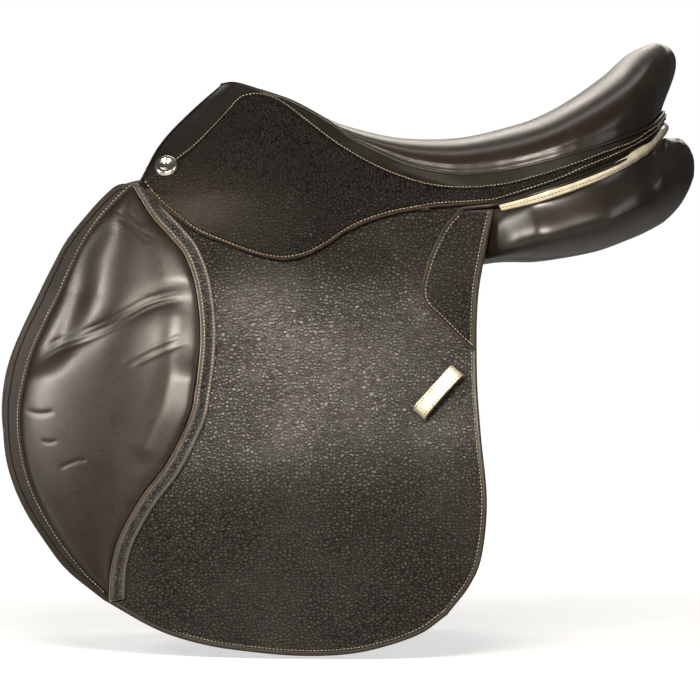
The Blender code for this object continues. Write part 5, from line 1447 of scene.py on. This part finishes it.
def build_sweat_flaps():
    """The matt flaps next to the horse, with a bound edge, and the knee blocks that stand on them."""
    across, down = clustered(0.30, 90), clustered(0.30, 90)
    face = on_flap(coons_patch(SWEAT_TOP, SWEAT_BOTTOM, SWEAT_FRONT, SWEAT_REAR, across, down), -SWEAT_DEPTH)
    face = np.concatenate([sewn_to_panel(face[0]), face])
    away = rim_distance(face, "bfr")
    lift = 0.0006 * ridge(away - 0.003, 0.0025)
    rows = []
    for line, inside in ((SWEAT_FRONT, -0.0072), (SWEAT_BOTTOM, -0.0072), (SWEAT_REAR, 0.0072)):
        path = offset_line(even_line(line, 0.003), inside)[3:-3]
        rows.append(row_on(surface_of(face), on_flap(path, -SWEAT_DEPTH), 0.0002))
    block_u, block_v = clustered(0.036, 22), clustered(0.225, 90)
    plane = between(KNEE_BLOCK_FRONT, KNEE_BLOCK_REAR, block_u, block_v)
    u, v = block_u[None, :], block_v[:, None]
    rise = KNEE_BLOCK_HEIGHT * np.sin(math.pi * u) ** 0.5 * np.sin(math.pi * v) ** 0.35
    rise = rise - 0.0006 * np.sin(v * 60) ** 2 * np.sin(math.pi * u)
    outer, inner = on_flap(plane, -0.0242) + outward(rise), on_flap(plane, -0.0248)
    for side, sign in SIDES:
        flip = np.array((1, sign, 1))
        flap = leather_sheet(f"sweat_flap_{side}_visual", sign, face, 0.003, finish_of("sweat_hide"), away,
                             lift)
        block = shell(f"knee_block_{side}_visual", outer * flip, inner * flip, finish_of("pad_hide"), {}, 60)
        thread_rows = stitches(f"sweat_flap_stitches_{side}", rows, sign=sign)
        for obj, slot in ((flap, "sweat_leather"), (block, "smooth_leather"), (thread_rows, "sweat_leather")):
            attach(obj, "saddle")
        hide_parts(f"sweat_flap_{side}")
        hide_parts(f"knee_block_{side}")


def panel_section(row, angles):
    """One cross-section of the right cushion, from a row of PANEL_SECTIONS: x, y and z of its middle, its
    half width and half height, and its tilt in degrees."""
    x, y, z, half_width, half_height, tilt = row
    power = 2 / (2.4 - 0.4 * smooth_step(x, 60, 160))
    across = half_width * np.sign(np.cos(angles)) * np.abs(np.cos(angles)) ** power
    up = half_height * np.sign(np.sin(angles)) * np.abs(np.sin(angles)) ** power
    outer = smooth_step(np.cos(angles), 0.0, 1.0) * smooth_step(x, 90, 125) * smooth_step(-x, -284, -250)
    up = np.where(up < 0, up * (1 - 0.38 * outer), up) - 11 * outer
    lean = math.radians(-tilt)
    return mm(np.stack([np.full(len(angles), x), y + across * math.cos(lean) - up * math.sin(lean),
                        z + across * math.sin(lean) + up * math.cos(lean)], axis=1))


def build_panels():
    """The two cushions: leather drawn over soft filling, with a welt round the seat side and rear gathers."""
    sections = np.array(PANEL_SECTIONS, float)
    count, around = 170, 88
    places = np.linspace(0, len(sections) - 1, count)
    rows = rail(sections, places)
    angles = whole_turn(around)
    grid = np.stack([panel_section(row, angles) for row in rows])
    outwards = unit(grid - grid.mean(axis=1, keepdims=True), 1e-9)
    v, a = (places / (len(sections) - 1))[:, None], angles[None, :]
    full = smooth_step(v, 0.0, 0.08) * smooth_step(1 - v, 0.0, 0.12)
    soft = 0.0008 * np.sin(v * 37 + 2 * np.cos(a)) * np.cos(2 * a + v * 9) + 0.0005 * np.sin(v * 83 + 3 * a)
    under = smooth_step(-np.sin(a), 0.1, 0.6)
    gathers = 0.0007 * smooth_step(v, 0.80, 0.92) * np.sin(a * 13 + v * 22) * smooth_step(np.sin(a), 0.1, 0.8)
    welt = -0.0014 * ridge((a - WELT_ANGLE + math.pi) % (2 * math.pi) - math.pi, 0.06)
    grid = grid + outwards * ((soft * (1 - under) + gathers + welt) * full)[..., None]
    hem = rail(TRIM_BOTTOM, np.linspace(0, len(TRIM_BOTTOM) - 1, 200)) + mm((0, -2.0, 2.5))
    x = rows[:, 0] / 1000
    target = np.stack([x, np.interp(x, hem[:, 0], hem[:, 1]), np.interp(x, hem[:, 0], hem[:, 2])], axis=1)
    sewn = np.exp(-((angles - 0.9) / 0.42)**2)[None] * (smooth_step(x, 0.10, 0.126)
                                                        * smooth_step(-x, -0.268, -0.246))[:, None]
    grid += (target[:, None] - grid) * sewn[..., None]
    column = int(round(WELT_ANGLE / (2 * math.pi) * around))
    cord = grid[4:-4, column] + outwards[4:-4, column] * 0.0006
    faces = grid_faces(count, around, loop=True) + end_fans(count, around)
    points = np.concatenate([grid.reshape(-1, 3), grid[[0, -1]].mean(axis=1)])
    for side, sign in SIDES:
        flip = np.array((1, sign, 1))
        mesh = mesh_from(f"panel_{side}_cushion", points * flip, faces)
        close_up(mesh)
        shade_smooth(mesh, 70)
        cushion = new_object(f"panel_{side}_cushion", mesh, finish_of("panel_hide"))
        edge_cord = tube(f"panel_{side}_cord", cord, 0.0019, finish_of("panel_hide"), sign)
        whole = joined(f"panel_{side}_visual", [cushion, edge_cord])
        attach(whole, "saddle")
        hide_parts(f"panel_{side}")


# Girth straps, cantle trim and nail heads

STRAP_LENGTH = mm(285)
TRIM_ROW = 0.69
STRAP_HOLES, HOLE_PITCH, FIRST_HOLE = 8, mm(25), mm(36)


def strap_matrix(sign, x, depth):
    """A girth strap's place and lie: along the flap, straight down from under the hinge line."""
    top_z = hinge_z(x) - mm(26)
    low_z = top_z - STRAP_LENGTH
    middle = depth + mm(2)
    top = Vector((x, sign * (flap_face(x, top_z) - middle), top_z))
    foot = Vector((x, sign * (flap_face(x, low_z) - middle), low_z))
    step, mid_z = mm(20), (top_z + low_z) / 2
    run = Vector((2 * step, sign * (flap_face(x + step, mid_z) - flap_face(x - step, mid_z)), 0))
    normal = run.cross(top - foot).normalized()
    up = (Vector((0, 0, 1)) - normal * normal.z).normalized()
    along = up.cross(normal).normalized()
    rows = [[along[k], up[k], normal[k], top[k]] for k in range(3)]
    return Matrix(rows + [[0, 0, 0, 1]])


def build_girth_straps():
    """Flat straps with rounded rims, punched holes and a row of stitches along each side."""
    half, length = mm(16), STRAP_LENGTH
    taper, tip = -length + mm(22), -length + mm(4)
    outline = np.concatenate([
        bend((half - 0.004, 0.008), 0.004, 0, 90, 8), bend((-half + 0.004, 0.008), 0.004, 90, 180, 8),
        [(-half, taper), (-half * 0.93, taper - 0.007), (-half * 0.55, tip), (0, -length),
         (half * 0.55, tip), (half * 0.93, taper - 0.007), (half, taper)]])
    for end, x, depth in GIRTH_STRAPS:
        for side, sign in SIDES:
            curve = bpy.data.curves.new(f"girth_strap_{end}_{side}_outline", "CURVE")
            curve.dimensions, curve.fill_mode = "2D", "BOTH"
            curve.extrude, curve.bevel_depth, curve.bevel_resolution = 0.0013, 0.0006, 2
            curve.offset = -0.0006
            holes = [bend((0, -length + FIRST_HOLE + k * HOLE_PITCH), mm(2.6), 0, 342, 20)
                     for k in range(STRAP_HOLES)]
            for ring in [outline] + holes:
                spline = curve.splines.new("POLY")
                spline.points.add(len(ring) - 1)
                spline.points.foreach_set("co", np.concatenate([ring, np.zeros((len(ring), 1)),
                                                                np.ones((len(ring), 1))], axis=1).ravel())
                spline.use_cyclic_u = True
            holder = new_object(f"strap_{end}_{side}", curve, finish_of("strap_hide"))
            solid = holder.evaluated_get(bpy.context.evaluated_depsgraph_get())
            mesh = bpy.data.meshes.new_from_object(solid)
            bpy.data.objects.remove(holder)
            matrix = strap_matrix(sign, x, depth)
            mesh.transform(matrix)
            close_up(mesh)
            shade_smooth(mesh, 40)
            strap = new_object(f"girth_strap_{end}_{side}_visual", mesh, finish_of("strap_hide"))
            rows = []
            for face in (-1, 1):
                normal = np.array(matrix.to_3x3() @ Vector((0, 0, face)))
                for edge in (-1, 1):
                    line = [(edge * (half - 0.0035), y, face * 0.0020)
                            for y in np.linspace(0.004, taper, 120)]
                    rows.append((np.array([matrix @ Vector(p) for p in line]), np.tile(normal, (120, 1))))
            thread_rows = stitches(f"girth_strap_stitches_{end}_{side}", rows)
            for obj in (strap, thread_rows):
                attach(obj, f"strap_{end}_{side}")
            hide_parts(f"girth_strap_{end}_{side}")


def build_cantle_trim():
    """The pale crowned band round the back of the cantle, with brown edges and one row of dark stitches."""
    places = np.linspace(0, len(TRIM_TOP) - 1, 190)
    top, bottom = rail(TRIM_TOP, places), rail(TRIM_BOTTOM, places)
    top[-1, 1] = bottom[-1, 1] = 0.0
    down = clustered(0.0115, 10)
    face = top[None] + (bottom - top)[None] * down[:, None, None]
    face = np.concatenate([face, (face * np.array((1, -1, 1)))[:, -2::-1]], axis=1)
    normals = unit(np.cross(np.gradient(face, axis=1), np.gradient(face, axis=0)), TINY)
    centre = np.array((0.10, 0, 0.41))
    normals *= np.sign(((face - centre) * normals).sum(axis=2))[..., None]
    away = rim_distance(face)
    crown = (0.0022 * np.sin(math.pi * down) - 0.0002 * ridge(down - TRIM_ROW, 0.06))[:, None]
    drop = 0.0010 * near_rim(away, 0.0012) ** 2
    outer = face + normals * (crown - drop)[..., None]
    inner = face - normals * (0.0024 - drop)[..., None]
    trim = shell("cantle_trim_visual", outer, inner, finish_of("patent_hide"),
                 {"near_edge": near_rim(away)}, 50)
    row = int(np.argmin(np.abs(down - TRIM_ROW)))
    line, upright = outer[row, 3:-3], normals[row, 3:-3]
    thread_rows = stitches("cantle_trim_stitches", [(line + upright * 0.0001, upright)], "dark_thread")
    for obj in (trim, thread_rows):
        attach(obj, "saddle")
    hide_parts("cantle_trim")
    hem = rail(np.concatenate([mm([(95, 129.5, 375.9), (108, 132.6, 377.4)]), CANTLE_STRIP_EDGE
                               - mm([(0, 0.9, 1.3)] * 3 + [(0.4, 0, 1.3)] * 4)]),
               np.linspace(0, 8, 160))
    for side, sign in SIDES:
        cord = tube(f"cantle_piping_{side}", hem, 0.0018, finish_of("seat_hide"), sign)
        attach(cord, "saddle")


STUD_SPOT = (-157.5, 120, 413.7)
STUD_PROFILE = mm([
    (0.001, -0.9), (2.2, -0.75), (3.6, -0.2), (4.6, 0.25), (5.4, 0.75), (6.4, 1.15), (7.4, 1.28), (8.4, 1.1),
    (9.3, 0.6), (9.9, -0.1), (10.1, -0.7), (9.8, -1.35), (2.2, -1.4), (2.0, -5.0), (0.001, -5.0),
])


def build_studs():
    """The nickel nail heads on the skirts' front corners: a polished ring round a dished middle."""
    upper = skirt_grid()[0][:UPPER_ROWS]
    (spot,), (normal,) = laid_on(surface_of(upper), mm([STUD_SPOT]), reach=0.1)
    place = spot + normal * 0.0019
    side_way = np.cross(normal, (0, 0, 1.0))
    side_way /= np.linalg.norm(side_way)
    up = np.cross(side_way, normal)
    rings, around = 60, 56
    profile = even_rail(STUD_PROFILE, np.linspace(0, 1, rings))
    angles = whole_turn(around)
    ring = side_way[None] * np.cos(angles)[:, None] + up[None] * np.sin(angles)[:, None]
    points = place + ring[None] * profile[:, None, :1] + normal * profile[:, None, 1:]
    for side, sign in SIDES:
        mesh = mesh_from(f"skirt_stud_{side}_visual", points.reshape(-1, 3) * np.array((1, sign, 1)),
                         grid_faces(rings, around, loop=True) + end_caps(rings, around))
        close_up(mesh)
        shade_smooth(mesh, 45)
        stud = new_object(f"skirt_stud_{side}_visual", mesh, finish_of("nickel_plate"))
        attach(stud, "saddle")
        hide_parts(f"skirt_stud_{side}")


# The part's own meshes that stay: tree, plates, springs, webs, bars, rivets, catches and pins

KEPT_FINISHES = {
    "beech_plies": ("tree",), "canvas_web": ("seat_web_", "girth_web_"), "cream_foam": ("seat_foam",),
    "forged_steel": ("head_plate", "gullet_plate", "spring_", "stirrup_bar_", "bar_rivet_", "bar_catch_",
                     "catch_pin_"),
}


def finish_tree_and_steel():
    """Gives the hidden pieces, which keep the part's own shape, their wood, steel, canvas and foam."""
    for node in NODES:
        for finish, starts in KEPT_FINISHES.items():
            if node.startswith(starts):
                for slot in bpy.data.objects[node].material_slots:
                    slot.material = finish_of(finish)


# Stage: camera, lights, floor and world

class SaddleStage(bpy.types.PropertyGroup):
    overhead: power_setting("Rear light", 30.0, "Power behind the softboxes over and behind the seat")
    fill: power_setting("Front light", 20.0, "Power behind the four softboxes in front")
    surround: FloatProperty(name="Surround", description="Brightness of the room in reflections",
                            default=0.08, min=0.0, max=2.0)


def area_light(name, place, target, size, power, colour):
    light = bpy.data.lights.new(name, "AREA")
    light.shape, light.size, light.size_y = "RECTANGLE", size[0], size[1]
    light.energy, light.color = power, colour
    obj = bpy.data.objects.new(name, light)
    bpy.context.scene.collection.objects.link(obj)
    obj.location = place
    obj.rotation_euler = (Vector(target) - Vector(place)).to_track_quat("-Z", "Y").to_euler()
    return obj


LIGHTS = (
    # name, place, target, width and height, setting, share of it, colour
    ("softbox_over", (0.0, 0.5, 1.7), (0, 0, 0.3), (1.0, 0.3), "overhead", 0.09, (1, 0.955, 0.90)),
    ("softbox_rear", (0.1, 2.0, 1.4), (0.05, 0, 0.45), (2.2, 0.5), "overhead", 0.42, (1, 0.93, 0.83)),
    ("softbox_flap", (-0.12, -1.27, 0.84), (0.0, -0.14, 0.26), (0.52, 0.16), "fill", 1.15, (1, 0.92, 0.79)),
    ("softbox_roll", (-0.98, -0.90, 0.84), (-0.25, -0.1, 0.26), (0.10, 0.34), "fill", 0.47, (1, 0.94, 0.84)),
    ("softbox_left", (-2.65, -1.66, 0.75), (0, 0, 0.25), (0.8, 1.8), "fill", 0.80, (1, 0.96, 0.90)),
    ("softbox_right", (2.4, -2.0, 1.3), (0, 0, 0.25), (1.4, 1.6), "fill", 1.1, (1, 0.96, 0.90)),
)


def build_stage():
    """A white floor and room that only the camera sees white, six softboxes and the photograph's camera."""
    settings = bpy.context.scene.saddle_stage
    floor_mesh = bpy.data.meshes.new("floor")
    floor_mesh.from_pydata([(-8, -6, 0), (8, -6, 0), (8, 10, 0), (-8, 10, 0)], [], [(0, 1, 2, 3)])
    material, add, shader, place = new_material("floor_white")
    reach = add("ShaderNodeVectorMath", {0: place}, operation="LENGTH").outputs["Value"]
    seen = add("ShaderNodeLightPath").outputs["Is Camera Ray"]
    add.feed(shader, {"Base Color": (0.55, 0.55, 0.55, 1), "Roughness": 0.9, "Emission Color": (1, 1, 1, 1),
                      "Emission Strength": add.times(seen, add.spread(reach, 0.35, 1.6, 0.62, 1.0))})
    floor = new_object("floor", floor_mesh, material)
    floor.location.z = -0.0005
    lights = [area_light(name, spot, target, size, getattr(settings, power) * share, colour)
              for name, spot, target, size, power, share, colour in LIGHTS]
    world = bpy.data.worlds.new("white_room")
    bpy.context.scene.world = world
    world.use_nodes = True
    world.node_tree.nodes.clear()
    add = NodeMaker(world.node_tree)
    path = add("ShaderNodeLightPath")
    strength = add("ShaderNodeMath", {0: path.outputs["Is Camera Ray"], 1: 1.0 - settings.surround,
                                      2: settings.surround}, operation="MULTIPLY_ADD")
    back = add("ShaderNodeBackground", {"Color": (1, 1, 1, 1), "Strength": strength.outputs[0]})
    add("ShaderNodeOutputWorld", {"Surface": back.outputs[0]})
    camera = bpy.data.objects.new("photo_camera", bpy.data.cameras.new("photo_camera"))
    bpy.context.scene.collection.objects.link(camera)
    camera.data.sensor_width, camera.data.lens = 36.0, 220.4
    camera.location, camera.rotation_euler = (0.0, -3.75, 0.2562), (math.pi / 2, 0.0, 0.0)
    bpy.context.scene.camera = camera
    bpy.context.scene.view_settings.view_transform = "Standard"


# Operators and panel

class SADDLE_OT_seat(bpy.types.Operator):
    """Build the seat's cover and the cord round it"""
    bl_idname = "saddle.build_seat"
    bl_label = "Seat"

    def execute(self, context):
        build_seat()
        return {"FINISHED"}


class SADDLE_OT_skirts(bpy.types.Operator):
    """Build both skirts with their seams"""
    bl_idname = "saddle.build_skirts"
    bl_label = "Skirts"

    def execute(self, context):
        build_skirts()
        return {"FINISHED"}


class SADDLE_OT_flaps(bpy.types.Operator):
    """Build both flaps with facings, binding strips and piping"""
    bl_idname = "saddle.build_flaps"
    bl_label = "Flaps"

    def execute(self, context):
        build_flaps()
        return {"FINISHED"}


class SADDLE_OT_knee_pads(bpy.types.Operator):
    """Build the creased knee pads on the flaps"""
    bl_idname = "saddle.build_knee_pads"
    bl_label = "Knee pads"

    def execute(self, context):
        build_knee_pads()
        return {"FINISHED"}


class SADDLE_OT_patches(bpy.types.Operator):
    """Build the corner patches"""
    bl_idname = "saddle.build_patches"
    bl_label = "Corner patches"

    def execute(self, context):
        build_corner_patches()
        return {"FINISHED"}


class SADDLE_OT_keepers(bpy.types.Operator):
    """Build the pale loops for the stirrup leathers"""
    bl_idname = "saddle.build_keepers"
    bl_label = "Keepers"

    def execute(self, context):
        build_keepers()
        return {"FINISHED"}


class SADDLE_OT_sweat_flaps(bpy.types.Operator):
    """Build the sweat flaps and knee blocks"""
    bl_idname = "saddle.build_sweat_flaps"
    bl_label = "Sweat flaps"

    def execute(self, context):
        build_sweat_flaps()
        return {"FINISHED"}


class SADDLE_OT_panels(bpy.types.Operator):
    """Build the two panel cushions"""
    bl_idname = "saddle.build_panels"
    bl_label = "Panels"

    def execute(self, context):
        build_panels()
        return {"FINISHED"}


class SADDLE_OT_girth_straps(bpy.types.Operator):
    """Build the four girth straps"""
    bl_idname = "saddle.build_girth_straps"
    bl_label = "Girth straps"

    def execute(self, context):
        build_girth_straps()
        return {"FINISHED"}


class SADDLE_OT_trim(bpy.types.Operator):
    """Build the pale band round the cantle"""
    bl_idname = "saddle.build_trim"
    bl_label = "Cantle trim"

    def execute(self, context):
        build_cantle_trim()
        return {"FINISHED"}


class SADDLE_OT_studs(bpy.types.Operator):
    """Build the nickel nail heads"""
    bl_idname = "saddle.build_studs"
    bl_label = "Nail heads"

    def execute(self, context):
        build_studs()
        return {"FINISHED"}


class SADDLE_OT_tree_finish(bpy.types.Operator):
    """Give the tree, steel, webs and foam their materials"""
    bl_idname = "saddle.finish_tree"
    bl_label = "Tree and steel"

    def execute(self, context):
        finish_tree_and_steel()
        return {"FINISHED"}


class SADDLE_OT_stage(bpy.types.Operator):
    """Set up camera, lights, floor and world"""
    bl_idname = "saddle.build_stage"
    bl_label = "Stage"

    def execute(self, context):
        build_stage()
        return {"FINISHED"}


class SADDLE_PT_panel(bpy.types.Panel):
    """Settings and building steps of the saddle"""
    bl_idname = "SADDLE_PT_panel"
    bl_label = "Jumping saddle"
    bl_space_type = "VIEW_3D"
    bl_region_type = "UI"
    bl_category = "Saddle"

    def draw(self, context):
        layout = self.layout
        scene = context.scene
        for settings in (scene.saddle_sizes, scene.saddle_colours, scene.saddle_stage):
            box = layout.box()
            for key in type(settings).__annotations__:
                box.prop(settings, key)
        for step in STEPS:
            layout.operator(step.bl_idname)


STEPS = (SADDLE_OT_tree_finish, SADDLE_OT_seat, SADDLE_OT_skirts, SADDLE_OT_flaps, SADDLE_OT_knee_pads,
         SADDLE_OT_patches, SADDLE_OT_keepers, SADDLE_OT_sweat_flaps, SADDLE_OT_panels,
         SADDLE_OT_girth_straps, SADDLE_OT_trim, SADDLE_OT_studs, SADDLE_OT_stage)
SETTINGS = (SaddleSizes, SaddleColours, SaddleStage)


def register():
    for kind in SETTINGS + STEPS + (SADDLE_PT_panel,):
        bpy.utils.register_class(kind)
    bpy.types.Scene.saddle_sizes = PointerProperty(type=SaddleSizes)
    bpy.types.Scene.saddle_colours = PointerProperty(type=SaddleColours)
    bpy.types.Scene.saddle_stage = PointerProperty(type=SaddleStage)


def unregister():
    del bpy.types.Scene.saddle_stage
    del bpy.types.Scene.saddle_colours
    del bpy.types.Scene.saddle_sizes
    for kind in reversed(SETTINGS + STEPS + (SADDLE_PT_panel,)):
        bpy.utils.unregister_class(kind)


def main():
    register()
    bpy.ops.saddle.finish_tree()
    bpy.ops.saddle.build_seat()
    bpy.ops.saddle.build_skirts()
    bpy.ops.saddle.build_flaps()
    bpy.ops.saddle.build_knee_pads()
    bpy.ops.saddle.build_patches()
    bpy.ops.saddle.build_keepers()
    bpy.ops.saddle.build_sweat_flaps()
    bpy.ops.saddle.build_panels()
    bpy.ops.saddle.build_girth_straps()
    bpy.ops.saddle.build_trim()
    bpy.ops.saddle.build_studs()
    bpy.ops.saddle.build_stage()


if __name__ == "__main__":
    main()
